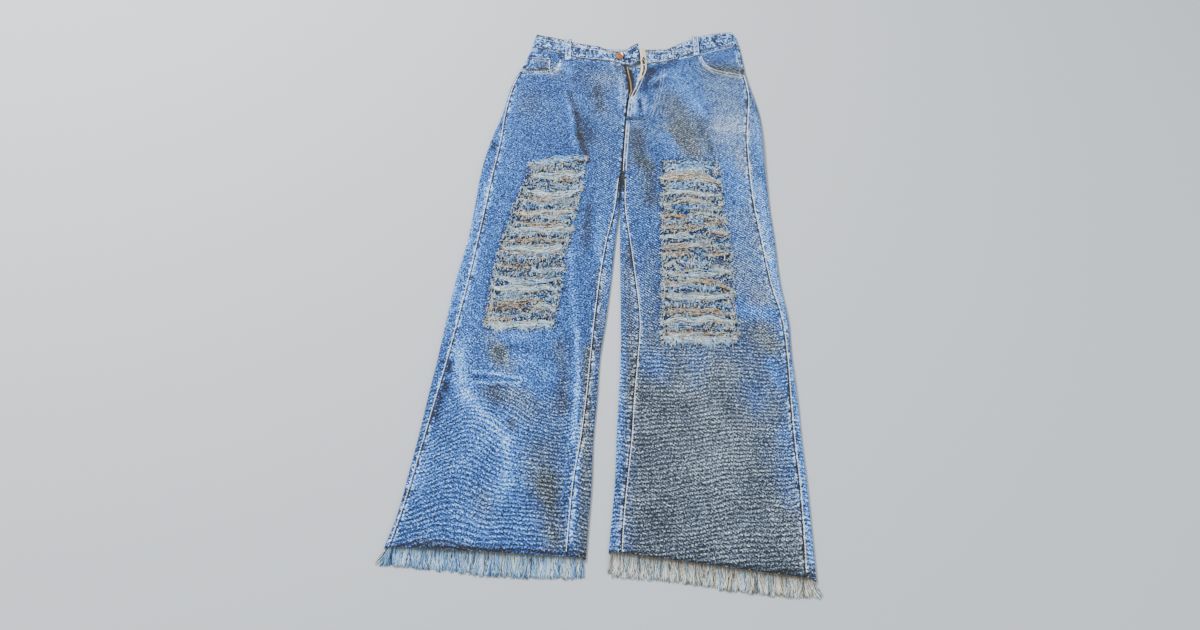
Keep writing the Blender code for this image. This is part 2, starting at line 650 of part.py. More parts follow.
def facing_columns(side):
    """Plan x of the facing's columns at its top edge, side seam first."""
    if side < 0:
        inner = [-117, -105, -91] + [front_top_x(side, share) for share in (.36, .385, .42)]
    else:
        inner = [255, 240, 225] + [front_top_x(side, share) for share in (.36, .385, .42, .5)]
    edge = read_row(leg_rows(side), "outseam", SIDE_SEAM_TOP[side]) - side * SEAM_GAP
    return [edge] + inner


def facing_top(x, y):
    """Height of the pocket facing's outer face: just under the front panel."""
    return front_under(x, y) - LAY_GAP


def facing_grid(side):
    """Plan places of the facing's points, from inside the pocket up to the waistband."""
    columns = facing_columns(side)
    seam = FRONT_SEAM_RIGHT if side < 0 else FRONT_SEAM_LEFT
    start, end = columns[0], columns[-1]
    side_levels = back_levels(side)[-4:] + list(YOKE_LEVELS[1:])
    foot = side_levels[0]
    grid = []
    for level in side_levels:
        share = (level - foot) / (side_levels[-1] - foot)
        line = []
        for top_x in columns:
            top_y = edge_height(seam, top_x) - SEAM_GAP
            y = foot + (top_y - foot) * share
            edge = read_row(leg_rows(side), "outseam", y) - side * SEAM_GAP
            x = edge + (end - edge) * (top_x - start) / (end - start)
            line.append((x, y))
        grid.append(line)
    return grid


def build_facing(side, material):
    """Denim facing that shows in the scooped pocket opening."""
    name = "pocket_facing_right" if side < 0 else "pocket_facing_left"
    upper, under = [], []
    for row in facing_grid(side):
        upper.append([(x, y, facing_top(x, y)) for x, y in row])
        under.append([(x, y, facing_top(x, y) - CLOTH) for x, y in row])
    FACING_SURFACE[side] = Surface(upper)
    return wall_from_grids(name, upper, under, material)


def build_coin_pocket(material):
    """Small patch pocket on the right facing, its foot just above the pocket opening."""
    upper, under = [], []
    for y in COIN_ROWS:
        lines = ([], [])
        for x in COIN_COLUMNS:
            low = FACING_SURFACE[-1].highest(x, y, facing_top(x, y)) + LAY_GAP
            lines[0].append((x, y, low + COIN_THICK))
            lines[1].append((x, y, low))
        upper.append(lines[0])
        under.append(lines[1])
    return wall_from_grids("coin_pocket", upper, under, material)


def band_lean(side, x):
    """How far the band's top edge stands towards the middle, near the side folds."""
    start, end = BAND_LEAN_REACH[side]
    return BAND_SIDE_LEAN[side] * smooth_step(0, 1, (x - start) / (end - start))


def band_ring(low, top, height_low, height_top, turned):
    """Four corner points of the band at one place; turned for its run along the back."""
    outer = 0.0 if turned else BAND
    inner = BAND - outer
    return [(*low, height_low + outer), (*top, height_top + outer),
            (*top, height_top + inner), (*low, height_low + inner)]


def front_band_rings(side):
    """Rings of the band along one front, from the side fold to its free end."""
    if side < 0:
        seam, upper = FRONT_SEAM_RIGHT, FRONT_TOP_RIGHT
        places = [-124] + facing_columns(side)[1:-3]
        places += [front_top_x(side, share) for share in FRONT_SPREAD if share > .35]
        places += list(BAND_TIP_PLACES)
    else:
        seam, upper = FRONT_SEAM_LEFT, FRONT_TOP_LEFT
        places = [268] + facing_columns(side)[1:-4]
        places += [front_top_x(side, share) for share in FRONT_SPREAD if share > .35]
    rings = []
    for x in places:
        low_y = edge_height(seam, x)
        top_x = x + band_lean(side, x)
        top_y = edge_height(upper, top_x)
        tip = smooth_step(FRONT_TOP_ENDS[-1][1], BAND_TIP_PLACES[-1], x)
        lift = BAND_TIP_LIFT * tip if side < 0 else 0.0
        low_z = front_under(x, low_y) - LAY_GAP
        top_z = front_under(top_x, low_y) - LAY_GAP + lift
        rings.append(band_ring((x, low_y), (top_x, top_y), low_z, top_z, False))
    return rings


def side_band_rings(side, first):
    """Rings of the band round a side fold, from the front's height down to the back's."""
    rings = []
    fold_low = read_row(leg_rows(side), "outer", SIDE_SEAM_TOP[side])
    top_y = (FRONT_TOP_RIGHT[0] if side < 0 else FRONT_TOP_LEFT[-1]).y
    high = (first[0][2] + first[1][2]) / 2
    radius = (high - SEAT_LIFT) / 2
    for turn in BAND_SIDE_TURNS:
        c, s = math.cos(math.radians(turn)), math.sin(math.radians(turn))
        ring = []
        for part, reach in ((0, radius), (1, radius), (1, radius - BAND), (0, radius - BAND)):
            lean = BAND_SIDE_LEAN[side] * part
            y = top_y if part else SIDE_SEAM_TOP[side]
            x = fold_low + lean - side * radius + side * reach * c
            ring.append((x, y, SEAT_LIFT + radius + reach * s))
        rings.append(ring)
    return rings


def back_band_rings():
    """Rings of the band along the back, right side to left side."""
    places = set()
    for side in (-1, 1):
        outer, inner = back_section(side, YOKE_LEVELS[-1])
        places.update(round(x, 2) for x, z in outer[6:])
        places.update(round(x, 2) for x, z in inner[6:])
    places = sorted(places)
    kept = [places[0]]
    for x in places[1:]:
        if x - kept[-1] > 1.0:
            kept.append(x)
    rings = []
    for x in kept:
        side = -1 if x < WAIST_MIDDLE else 1
        low_y = yoke_top(side, x) + SEAM_GAP
        top_x = x + band_lean(side, x)
        top_y = edge_height(BACK_TOP, top_x)
        rings.append(band_ring((x, low_y), (top_x, top_y), SEAT_LIFT, SEAT_LIFT, True))
    return rings


def tube_from_rings(name, rings, material, smooth=True):
    """Closed solid through rings of four points, with flat ends."""
    build = bmesh.new()
    made = [[build.verts.new(point) for point in ring] for ring in rings]
    for first, second in zip(made, made[1:]):
        for i in range(4):
            k = (i + 1) % 4
            build.faces.new((first[i], first[k], second[k], second[i]))
    build.faces.new(made[0])
    build.faces.new(list(reversed(made[-1])))
    return finish_object(name, build, material, smooth)


def build_waistband(material):
    """One strip round the waist: button end, right side, back, left side, buttonhole end."""
    right = front_band_rings(-1)
    left = front_band_rings(1)
    rings = list(reversed(right)) + side_band_rings(-1, right[0]) + back_band_rings()
    rings += list(reversed(side_band_rings(1, left[0]))) + left
    return tube_from_rings("waistband", rings, material)


def flat_wall(name, rows, low, thickness, material):
    """Level wall over a grid of plan places."""
    under = [[(x, y, low) for x, y in row] for row in rows]
    upper = [[(x, y, low + thickness) for x, y in row] for row in rows]
    return wall_from_grids(name, upper, under, material)


def fly_edge(side, y):
    """X of a front panel's free edge in the open fly."""
    return read_row(leg_rows(side), "front_inner", y)


def build_fly(denim, tape, brass):
    """Underlap, the two zip tapes and the slider at the foot of the open zip."""
    flat_wall("fly_shield", [[(x, row.y) for x in (SHIELD_LEFT, row.right)] for row in SHIELD],
              SHIELD_HEIGHT, CLOTH, denim)
    right_rows, left_rows = [], []
    for y in ZIP_ROWS:
        opened = smooth_step(ZIP_OPEN_START, ZIP_OPEN_END, y)
        edge = fly_edge(-1, y) + ZIP_SHOW_LEAST + (ZIP_SHOW - ZIP_SHOW_LEAST) * opened
        right_rows.append([(edge - TAPE_WIDTH, y), (edge, y)])
        other = max(edge + 1.0, fly_edge(1, y) + ZIP_LEFT_SHOW)
        left_rows.append([(other, y), (other + TAPE_WIDTH, y)])
    flat_wall("zip_tape_right", right_rows, TAPE_HEIGHT, TAPE_THICK, tape)
    flat_wall("zip_tape_left", left_rows, TAPE_HEIGHT, TAPE_THICK, tape)
    x, y = SLIDER_PLACE
    low = TAPE_HEIGHT + TAPE_THICK + SEAM_GAP
    rings = []
    for along, half, thick in SLIDER:
        rings.append([(x - half, y + along, low), (x + half, y + along, low),
                      (x + half, y + along, low + thick), (x - half, y + along, low + thick)])
    tube_from_rings("zip_slider", rings, brass, False)


def build_fly_facing(denim):
    """Facing of the left fly, turned out over the buttonhole end and the panel."""
    upper, under = [], []
    for y, left, right in TURNED_FACING:
        lines = ([], [])
        for x in (left, (left + right) / 2, right):
            corner = FRONT_SEAM_LEFT[0]
            band_top = front_under(max(x, corner.x), corner.y) - LAY_GAP + BAND
            low = max(front_top(1, max(x, fly_edge(1, y)), y), band_top) + LAY_GAP
            lines[0].append((x, y, low + CLOTH))
            lines[1].append((x, y, low))
        upper.append(lines[0])
        under.append(lines[1])
    return wall_from_grids("fly_facing", upper, under, denim)


def band_height(side, x, share):
    """Height of the band's outer face at x, from its seam (0) to its top edge (1)."""
    seam = FRONT_SEAM_RIGHT if side < 0 else FRONT_SEAM_LEFT
    rings = front_band_rings(side)
    first = min(rings, key=lambda ring: abs(ring[0][0] - x))
    return max(first[0][2] + (first[1][2] - first[0][2]) * share,
               front_under(x, edge_height(seam, x)) - LAY_GAP + BAND)


def build_front_loop(side, name, denim):
    """Belt loop over the band: tacked on the panel, over the band and down its back."""
    middle, foot = LOOP_PLACES[side]
    seam = FRONT_SEAM_RIGHT if side < 0 else FRONT_SEAM_LEFT
    upper_edge = FRONT_TOP_RIGHT if side < 0 else FRONT_TOP_LEFT
    seam_y, top_y = edge_height(seam, middle), edge_height(upper_edge, middle)
    outside, inside = [], []
    for x in (middle - LOOP_WIDTH / 2, middle + LOOP_WIDTH / 2):
        face = max(band_height(side, x + step, share)
                   for step in (-6, 0, 6) for share in (0, 1)) + LAY_GAP
        rest = max(front_top(side, x + step, foot + rise)
                   for step in (-3, 0, 3) for rise in (0, 4)) + LAY_GAP
        back = face - BAND - 2 * LAY_GAP
        edge = top_y + LOOP_RISE
        line = [(foot, rest), (foot + 5, rest), (seam_y - 3, face), (seam_y + 12, face + 0.7),
                (top_y - 8, face + 0.7), (edge - 1, face), (edge, face - 0.8),
                (edge, back), (edge - 0.4, back - 0.8)]
        turn = [(0, 1), (0.2, 1), (-0.3, 1), (0, 1), (0, 1), (0.5, 0.85), (1, 0.3),
                (1, -0.3), (1, -0.6)]
        inside.append([(x, y, z) for y, z in line])
        outside.append([(x, y + a * LOOP_THICK, z + b * LOOP_THICK)
                        for (y, z), (a, b) in zip(line, turn)])
    return wall_from_grids(name, outside, inside, denim)


def build_under_pieces(denim):
    """Patch pockets and back belt loops, flat between the seat and the floor."""
    for name, (middle, top) in BACK_POCKETS.items():
        half, foot = POCKET_WIDTH / 2, top - POCKET_DEPTH
        rows = [[(middle + k * half, top) for k in (-1, 0, 1)],
                [(middle + k * (half - POCKET_LEAN), foot + POCKET_CORNER_RISE)
                 for k in (-1, 0, 1)],
                [(middle + k * (half - POCKET_FOOT_LEAN), foot + POCKET_FOOT_RISE * abs(k))
                 for k in (-1, 0, 1)]]
        flat_wall(name, rows, 0.0, POCKET_LAYER, denim)
    for name, (low_x, low_y, top_x, top_y) in BACK_LOOPS.items():
        half = LOOP_WIDTH / 2
        flat_wall(name, [[(low_x - half, low_y), (low_x + half, low_y)],
                         [(top_x - half, top_y), (top_x + half, top_y)]],
                  0.0, POCKET_LAYER, denim)


def build_button(copper):
    """Shank button: a turned copper cap with a rolled rim and a shallow dish."""
    build = bmesh.new()
    x, y = BUTTON_PLACE
    low = max(band_height(-1, x + step, share)
              for step in (-8, 0, 8) for share in (0, 1)) + SEAM_GAP
    radius, high = BUTTON_RADIUS, BUTTON_HEIGHT
    profile = [(0, 0), (radius * .55, 0), (radius * .6, high * .3), (radius * .93, high * .34),
               (radius, high * .6), (radius * .9, high * .95), (radius * .74, high * .8),
               (0, high)]
    points = [build.verts.new((x + r, y, low + h)) for r, h in profile]
    edges = [build.edges.new(pair) for pair in zip(points, points[1:])]
    bmesh.ops.spin(build, geom=points + edges, cent=(x, y, 0), axis=(0, 0, 1),
                   angle=math.tau, steps=BUTTON_STEPS, use_merge=True)
    bmesh.ops.remove_doubles(build, verts=build.verts, dist=0.01)
    return finish_object("button", build, copper)


def comb(name, rail, locks, material):
    """Narrow woven strip with locks of yarn fused to its edge.

    rail holds rings of four points: edge low, edge high, back high, back low. locks gives,
    for the stretch of rail that a lock grows from, the lock's own rings and its tip.
    """
    build = bmesh.new()
    made = [[build.verts.new(point) for point in ring] for ring in rail]
    for i, (first, second) in enumerate(zip(made, made[1:])):
        for k in (1, 2, 3):
            n = (k + 1) % 4
            build.faces.new((first[k], first[n], second[n], second[k]))
        root = [first[0], second[0], second[1], first[1]]
        if i not in locks:
            build.faces.new(root)
            continue
        rings, tip = locks[i]
        for ring in rings:
            bend = [build.verts.new(point) for point in ring]
            for k in range(4):
                n = (k + 1) % 4
                build.faces.new((root[k], root[n], bend[n], bend[k]))
            root = bend
        end = build.verts.new(tip)
        for k in range(4):
            build.faces.new((root[k], root[(k + 1) % 4], end))
    build.faces.new(made[0])
    build.faces.new(list(reversed(made[-1])))
    return finish_object(name, build, material, False)


def build_hem_fringe(side, top, name, yarn):
    """Frayed edge of one side of a leg: a strip beyond the hem, and its locks."""
    hem = RIGHT_HEM if side < 0 else LEFT_HEM
    start, end = hem.outer_x - side * FRINGE_INSET, hem.inner_x + side * FRINGE_INSET
    if start > end:
        start, end = end, start
    pitch = (end - start) / FRINGE_STRANDS
    rail, locks = [], {}
    for i in range(FRINGE_STRANDS):
        for x in (start + (i + 0.5) * pitch - LOCK_WIDTH / 2,
                  start + (i + 0.5) * pitch + LOCK_WIDTH / 2):
            y = hem_line(side, x) - SEAM_GAP
            z = front_under(x, y) if top else FLOOR_CLEARANCE
            rail.append([(x, y - STRIP, z), (x, y - STRIP, z + STRIP_THICK),
                         (x, y, z + STRIP_THICK), (x, y, z)])
        share = (start + (i + 0.5) * pitch - hem.outer_x) / (hem.inner_x - hem.outer_x)
        length = hem.outer_fringe + (hem.inner_fringe - hem.outer_fringe) * share - STRIP
        length *= 0.86 + 0.14 * math.sin(7.1 * i + (0 if top else 2))
        sway = 2.4 * math.sin(2.3 * i + side) + 0.8 * math.sin(5.7 * i)
        first, second = rail[-2], rail[-1]
        middle = (first[0][0] + second[0][0]) / 2
        y, z = first[0][1], first[0][2]
        drop = (z - FLOOR_CLEARANCE - 0.7) * 0.6 if top else 0.0
        half = LOCK_WIDTH * 0.36
        bend_x, bend_y, bend_z = middle + sway * 0.35, y - length * 0.5, z - drop * 0.5
        ring = [(bend_x - half, bend_y, bend_z), (bend_x + half, bend_y, bend_z),
                (bend_x + half, bend_y, bend_z + LOCK_THICK),
                (bend_x - half, bend_y, bend_z + LOCK_THICK)]
        tip = (middle + sway, y - length, z - drop + 0.2)
        locks[2 * i] = ([ring], tip)
    return comb(name, rail, locks, yarn)


def highest_near(side, x, y, reach_x, reach_y):
    """Highest point of the front panel's face around a plan place."""
    return max(front_top(side, x + i * reach_x / 2, y + k * reach_y / 2)
               for i in (-2, -1, 0, 1, 2) for k in (-2, -1, 0, 1, 2))


def build_rip_yarns(side, name, yarn):
    """White weft yarns left across the rips, growing from the ladder's outer long side."""
    ladder = RIGHT_LADDER if side < 0 else LEFT_LADDER
    top_y, foot_y = ladder[0].y - 12, ladder[-1].y + 10
    pitch = (top_y - foot_y) / (YARN_ROWS - 1)
    rail, locks = [], {}
    for i in range(YARN_ROWS):
        y = foot_y + pitch * i
        start = read_row(ladder, "start", y)
        end = read_row(ladder, "end", y) + 3.0 * math.sin(4.1 * i)
        for edge_y in (y - YARN_WIDTH / 2, y + YARN_WIDTH / 2):
            z = highest_near(side, start - STRIP / 2, edge_y, STRIP, pitch / 2) + LAY_GAP
            rail.append([(start, edge_y, z), (start, edge_y, z + STRIP_THICK),
                         (start - STRIP, edge_y, z + STRIP_THICK), (start - STRIP, edge_y, z)])
        rings = []
        for share in (0.22, 0.5, 0.78):
            x = start + (end - start) * share
            sway = 2.0 * math.sin(3.3 * i + 5 * share)
            z = highest_near(side, x, y + sway, (end - start) * 0.16, YARN_WIDTH) + LAY_GAP
            half = YARN_WIDTH * (0.5 - 0.2 * share)
            rings.append([(x, y + sway - half, z), (x, y + sway + half, z),
                          (x, y + sway + half, z + YARN_THICK),
                          (x, y + sway - half, z + YARN_THICK)])
        tip_z = highest_near(side, end, y, YARN_WIDTH, YARN_WIDTH) + LAY_GAP + 0.9
        locks[2 * i] = (rings, (end, y, tip_z))
    return comb(name, rail, locks, yarn)


clear_scene()
DENIM = make_material("Denim", (86, 122, 172), 0.9)
PALE_DENIM = make_material("Inner face of denim", (196, 200, 200), 0.9)
TAPE = make_material("Cotton zip tape", (70, 84, 104), 0.9)
BRASS = make_material("Antique brass", (150, 120, 70), 0.4, 1.0)
COPPER = make_material("Copper", (184, 118, 76), 0.35, 1.0)
YARN = make_material("Loose cotton yarn", (214, 222, 226), 0.95)
SIDE_NAMES = {-1: "right", 1: "left"}
for SIDE, SIDE_NAME in SIDE_NAMES.items():
    build_front(SIDE, DENIM)
    build_back(SIDE, DENIM)
    build_yoke(SIDE, DENIM)
    build_facing(SIDE, DENIM)
    build_front_loop(SIDE, "belt_loop_front_" + SIDE_NAME, DENIM)
    build_hem_fringe(SIDE, True, "hem_fringe_front_" + SIDE_NAME, YARN)
    build_hem_fringe(SIDE, False, "hem_fringe_back_" + SIDE_NAME, YARN)
    build_rip_yarns(SIDE, "rip_yarns_" + SIDE_NAME, YARN)
build_coin_pocket(DENIM)
build_waistband(DENIM)
build_under_pieces(DENIM)
build_fly(DENIM, TAPE, BRASS)
build_fly_facing(PALE_DENIM)
build_button(COPPER)
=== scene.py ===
"""Ripped wide-leg jeans of washed denim, laid flat: the finish of every piece.

The waist points to +Y and the floor is z = 0. Tables and sizes are in millimetres, and MM
turns them into metres. Right and left are the wearer's: the right leg is on the -X side.
"""
import math
import random

import bmesh
import bpy
import numpy as np
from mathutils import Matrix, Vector
from mathutils.bvhtree import BVHTree


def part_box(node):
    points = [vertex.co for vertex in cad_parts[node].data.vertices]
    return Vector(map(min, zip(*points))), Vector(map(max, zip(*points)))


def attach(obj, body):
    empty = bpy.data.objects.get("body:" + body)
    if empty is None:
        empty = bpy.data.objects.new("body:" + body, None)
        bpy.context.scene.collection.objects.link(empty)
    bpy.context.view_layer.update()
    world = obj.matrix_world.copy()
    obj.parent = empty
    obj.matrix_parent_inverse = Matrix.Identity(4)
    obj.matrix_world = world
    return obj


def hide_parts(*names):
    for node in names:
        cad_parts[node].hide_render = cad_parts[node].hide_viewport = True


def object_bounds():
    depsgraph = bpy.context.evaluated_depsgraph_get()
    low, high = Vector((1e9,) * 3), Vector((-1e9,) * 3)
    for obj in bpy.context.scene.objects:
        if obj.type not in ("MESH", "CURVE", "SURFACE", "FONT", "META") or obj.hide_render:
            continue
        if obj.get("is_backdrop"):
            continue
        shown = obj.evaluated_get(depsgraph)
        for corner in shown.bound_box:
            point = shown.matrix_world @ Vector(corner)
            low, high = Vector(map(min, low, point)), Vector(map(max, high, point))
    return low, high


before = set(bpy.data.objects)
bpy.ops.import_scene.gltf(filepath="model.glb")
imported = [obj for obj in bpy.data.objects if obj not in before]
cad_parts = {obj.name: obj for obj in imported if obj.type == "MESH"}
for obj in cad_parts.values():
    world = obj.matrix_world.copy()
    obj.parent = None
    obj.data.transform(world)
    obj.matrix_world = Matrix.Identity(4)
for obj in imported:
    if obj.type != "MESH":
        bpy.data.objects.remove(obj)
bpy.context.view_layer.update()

# Back panels
# Two panels of stone-washed 13 oz cotton twill. They lie on the floor with the pale inner face
# up, and roll over at both edges to the seams that join them to the fronts.
MM = 0.001
SIDES = {-1: "right", 1: "left"}
TWILL_LINE = 5.0        # real twill lines are 0.9 mm apart, drawn coarser so that they show
SLUB_ROW = 6.8          # wavy rows that the wash brings out of the uneven weft
HEATHER = 2.2           # flecks of slub yarn; real ones are 1 to 3 mm long
PANEL_CUTS = 5
MATH = "ShaderNodeMath"
SEAM_ANGLE = 65.0       # a wall's two faces meet its cut edge at a sharper angle than this


def linear(colour):
    """An sRGB hex colour as linear light."""
    channels = []
    for place in (1, 3, 5):
        value = int(colour[place:place + 2], 16) / 255
        channels.append(value / 12.92 if value <= 0.04045 else ((value + 0.055) / 1.055) ** 2.4)
    return (*channels, 1.0)


def add_node(tree, kind, inputs=(), **settings):
    """A node with its settings, its fixed inputs and its links."""
    made = tree.nodes.new(kind)
    for name, value in settings.items():
        setattr(made, name, value)
    for name, value in dict(inputs).items():
        if isinstance(value, bpy.types.Node):
            value = value.outputs[0]
        if isinstance(value, bpy.types.NodeSocket):
            tree.links.new(value, made.inputs[name])
        else:
            made.inputs[name].default_value = value
    return made


def new_material(name, roughness=0.85, **fixed):
    """Empty material, its node tree and its shader."""
    material = bpy.data.materials.new(name)
    material.use_nodes = True
    shader = material.node_tree.nodes["Principled BSDF"]
    shader.inputs["Roughness"].default_value = roughness
    for socket, value in fixed.items():
        shader.inputs[socket.replace("_", " ")].default_value = value
    return material, material.node_tree, shader


def washed_denim(name, rope_reach=10.0, rope_light=0.4, rope_pitch=12.0, row_depth=0.16,
                 worn=0.1):
    """Cotton twill, indigo warp over white weft, stone-washed, with a grey-brown cast in patches.

    The eye sees light and dark flecks of slub yarn, wavy dark rows across the legs, a faint
    diagonal twill, seams roped into pale puckers and dark hollows, and painted shade in the
    ditch beside the stitching.
    """
    material, tree, shader = new_material(name, 0.9, Sheen_Weight=0.08, Sheen_Roughness=0.5)
    place = add_node(tree, "ShaderNodeTexCoord").outputs["Object"]
    marks = {}
    for mark in ("seam", "ditch", "fray", "fade", "brown", "slub", "rib", "twill"):
        marks[mark] = add_node(tree, "ShaderNodeAttribute", attribute_name=mark).outputs["Fac"]
    cloud = add_node(tree, "ShaderNodeTexNoise",
                     {"Vector": place, "Scale": 18.0, "Detail": 4.0, "Roughness": 0.6})
    wobble = add_node(tree, "ShaderNodeTexNoise",
                      {"Vector": place, "Scale": 26.0, "Detail": 2.0})
    # Turned, so that the level cloth doesn't lie along a plane of the noise, where it is faint
    turned = add_node(tree, "ShaderNodeMapping", {"Vector": place, "Rotation": (0.6, 0.8, 0.3)})
    fleck = add_node(tree, "ShaderNodeTexNoise",
                     {"Vector": turned, "Scale": 1 / (HEATHER * MM), "Detail": 2.0,
                      "Roughness": 0.7})
    # Rows of slub: a sine of the phase along the leg, shaken by the two noises
    phase = add_node(tree, MATH, {0: marks["slub"], 1: math.tau / (SLUB_ROW * MM)},
                     operation="MULTIPLY")
    phase = add_node(tree, MATH, {0: wobble, 1: 11.0, 2: phase}, operation="MULTIPLY_ADD")
    phase = add_node(tree, MATH, {0: fleck, 1: 3.2, 2: phase}, operation="MULTIPLY_ADD")
    row = add_node(tree, MATH, {0: phase}, operation="SINE")
    strength = add_node(tree, MATH, {0: marks["rib"], 1: row}, operation="MULTIPLY")
    # Twill lines, which climb to the left
    split = add_node(tree, "ShaderNodeSeparateXYZ", {"Vector": place})
    lean = add_node(tree, MATH, {0: split.outputs["X"], 1: 0.75, 2: split.outputs["Y"]},
                    operation="MULTIPLY_ADD")
    lean = add_node(tree, MATH, {0: lean, 1: math.tau / (TWILL_LINE * MM)},
                    operation="MULTIPLY")
    lean = add_node(tree, MATH, {0: fleck, 1: 2.0, 2: lean}, operation="MULTIPLY_ADD")
    twill = add_node(tree, MATH, {0: lean}, operation="SINE")
    twill = add_node(tree, MATH, {0: twill, 1: marks["twill"]}, operation="MULTIPLY")
    # Roped seams, and painted shade in the ditch beside the stitching
    near = add_node(tree, "ShaderNodeMapRange",
                    {"Value": marks["seam"], "From Max": rope_reach * MM, "To Min": 1.0,
                     "To Max": 0.0}, interpolation_type="SMOOTHSTEP")
    puckers = add_node(tree, "ShaderNodeTexNoise",
                       {"Vector": place, "Scale": 1 / (rope_pitch * MM), "Detail": 2.0,
                        "Distortion": 1.4})
    rope = add_node(tree, "ShaderNodeMapRange",
                    {"Value": puckers, "From Min": 0.40, "From Max": 0.60, "To Min": -0.8,
                     "To Max": 1.0}, interpolation_type="SMOOTHSTEP")
    rope = add_node(tree, MATH, {0: rope, 1: near}, operation="MULTIPLY")
    ditch = add_node(tree, "ShaderNodeMapRange",
                     {"Value": marks["seam"], "From Min": 0.5 * MM, "From Max": 2.2 * MM,
                      "To Min": 1.0, "To Max": 0.0}, interpolation_type="SMOOTHSTEP")
    ditch = add_node(tree, MATH, {0: ditch, 1: marks["ditch"]}, operation="MULTIPLY")
    # Depth of blue, from 0, unwashed indigo, to 1, bleached; painted shade in ditches, folds and
    # gaps lowers it
    blue = add_node(tree, MATH, {0: fleck, 1: 2.8, 2: -1.00}, operation="MULTIPLY_ADD")
    blue = add_node(tree, MATH, {0: cloud, 1: 0.35, 2: blue}, operation="MULTIPLY_ADD")
    blue = add_node(tree, MATH, {0: blue, 1: -0.27}, operation="ADD")
    for part, weight in ((strength, row_depth), (twill, 0.2), (rope, rope_light), (near, worn),
                         (ditch, -0.7), (marks["fade"], 1.0), (marks["fray"], 0.2)):
        blue = add_node(tree, MATH, {0: part, 1: weight, 2: blue}, operation="MULTIPLY_ADD")
    washes = []
    for stain in (("#060C1C", "#16346A", "#2A63B6", "#60A8EE", "#D2ECFF"),
                  ("#0A0C0F", "#2A333C", "#58646C", "#9CA8AC", "#F4F6F0")):
        wash = add_node(tree, "ShaderNodeValToRGB", {"Fac": blue})
        stops = wash.color_ramp.elements
        stops[0].position, stops[0].color = 0.04, linear(stain[0])
        stops[1].position, stops[1].color = 1.0, linear(stain[4])
        for position, colour in zip((0.28, 0.50, 0.77), stain[1:4]):
            stop = stops.new(position)
            stop.color = linear(colour)
        washes.append(wash)
    # Grey-brown cast, in patches
    cast = add_node(tree, MATH, {0: cloud, 1: 0.6, 2: -0.24}, operation="MULTIPLY_ADD")
    cast = add_node(tree, MATH, {0: marks["brown"], 1: cast}, operation="ADD", use_clamp=True)
    cast = add_node(tree, MATH, {0: cast, 1: 0.9}, operation="MULTIPLY")
    colour = add_node(tree, "ShaderNodeMix", {0: cast, 6: washes[0], 7: washes[1]},
                      data_type="RGBA")
    tree.links.new(colour.outputs[2], shader.inputs["Base Color"])
    height = add_node(tree, MATH, {0: twill, 1: 0.3}, operation="MULTIPLY")
    for part, weight in ((strength, 0.5), (fleck, 2.5), (rope, 1.6), (ditch, -1.8)):
        height = add_node(tree, MATH, {0: part, 1: weight, 2: height},
                          operation="MULTIPLY_ADD")
    bump = add_node(tree, "ShaderNodeBump",
                    {"Height": height, "Strength": 0.6, "Distance": 0.6 * MM})
    tree.links.new(bump.outputs["Normal"], shader.inputs["Normal"])
    return material


def denim_inside(name, dark, light):
    """Inner face of denim twill: white weft outside, so it is pale and fine grained."""
    material, tree, shader = new_material(name, 0.92)
    place = add_node(tree, "ShaderNodeTexCoord").outputs["Object"]
    fleck = add_node(tree, "ShaderNodeTexNoise",
                     {"Vector": place, "Scale": 1 / (HEATHER * MM), "Detail": 3.0,
                      "Roughness": 0.7}).outputs["Fac"]
    ramp = add_node(tree, "ShaderNodeValToRGB", {"Fac": fleck})
    stops = ramp.color_ramp.elements
    stops[0].position, stops[0].color = 0.3, linear(dark)
    stops[1].position, stops[1].color = 0.7, linear(light)
    tree.links.new(ramp.outputs["Color"], shader.inputs["Base Color"])
    bump = add_node(tree, "ShaderNodeBump",
                    {"Height": fleck, "Strength": 0.5, "Distance": 0.4 * MM})
    tree.links.new(bump.outputs["Normal"], shader.inputs["Normal"])
    return material


def open_solid(node, wall_up):
    """Merged copy of a packed cloth solid, its faces marked: 0 outer wall, 1 the rest.

    Also the rings of edges round its outer wall, the outline first and then the rips.
    """
    build = bmesh.new()
    build.from_mesh(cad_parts[node].data)
    bmesh.ops.remove_doubles(build, verts=build.verts, dist=0.000001)
    bmesh.ops.join_triangles(build, faces=build.faces, angle_face_threshold=math.radians(30),
                             angle_shape_threshold=math.radians(50))
    build.normal_update()
    for face in build.faces:
        face.material_index = 1
    first = max(build.faces, key=lambda face: face.calc_center_median().z * wall_up
                if face.normal.z * wall_up > 0.9 and face.calc_area() > 4e-6 else -1.0)
    first.material_index = 0
    reached = [first]
    while reached:
        face = reached.pop()
        for edge in face.edges:
            if len(edge.link_faces) == 2 and edge.calc_face_angle() < math.radians(SEAM_ANGLE):
                for other in edge.link_faces:
                    if other.material_index == 1:
                        other.material_index = 0
                        reached.append(other)
    border = {edge for edge in build.edges
              if len({face.material_index for face in edge.link_faces}) == 2}
    rings = []
    while border:
        ring, ends = [], [border.pop()]
        while ends:
            edge = ends.pop()
            ring.append((tuple(edge.verts[0].co), tuple(edge.verts[1].co)))
            for vert in edge.verts:
                for other in vert.link_edges:
                    if other in border:
                        border.remove(other)
                        ends.append(other)
        rings.append(np.array(ring))
    rings.sort(key=lambda ring: -np.ptp(ring[:, :, 1]))
    return build, rings


def fine_cloth(build, cuts):
    """Cuts a panel finer and eases its facets, without moving its edges."""
    bmesh.ops.subdivide_edges(build, edges=build.edges[:], cuts=cuts, use_grid_fill=True)
    soft = [vert for vert in build.verts
            if len({face.material_index for face in vert.link_faces}) == 1
            and all(edge.is_manifold and edge.calc_face_angle() < 1.0
                    for edge in vert.link_edges)]
    for _ in range(cuts + 3):
        bmesh.ops.smooth_vert(build, verts=soft, factor=0.5, use_axis_z=True)


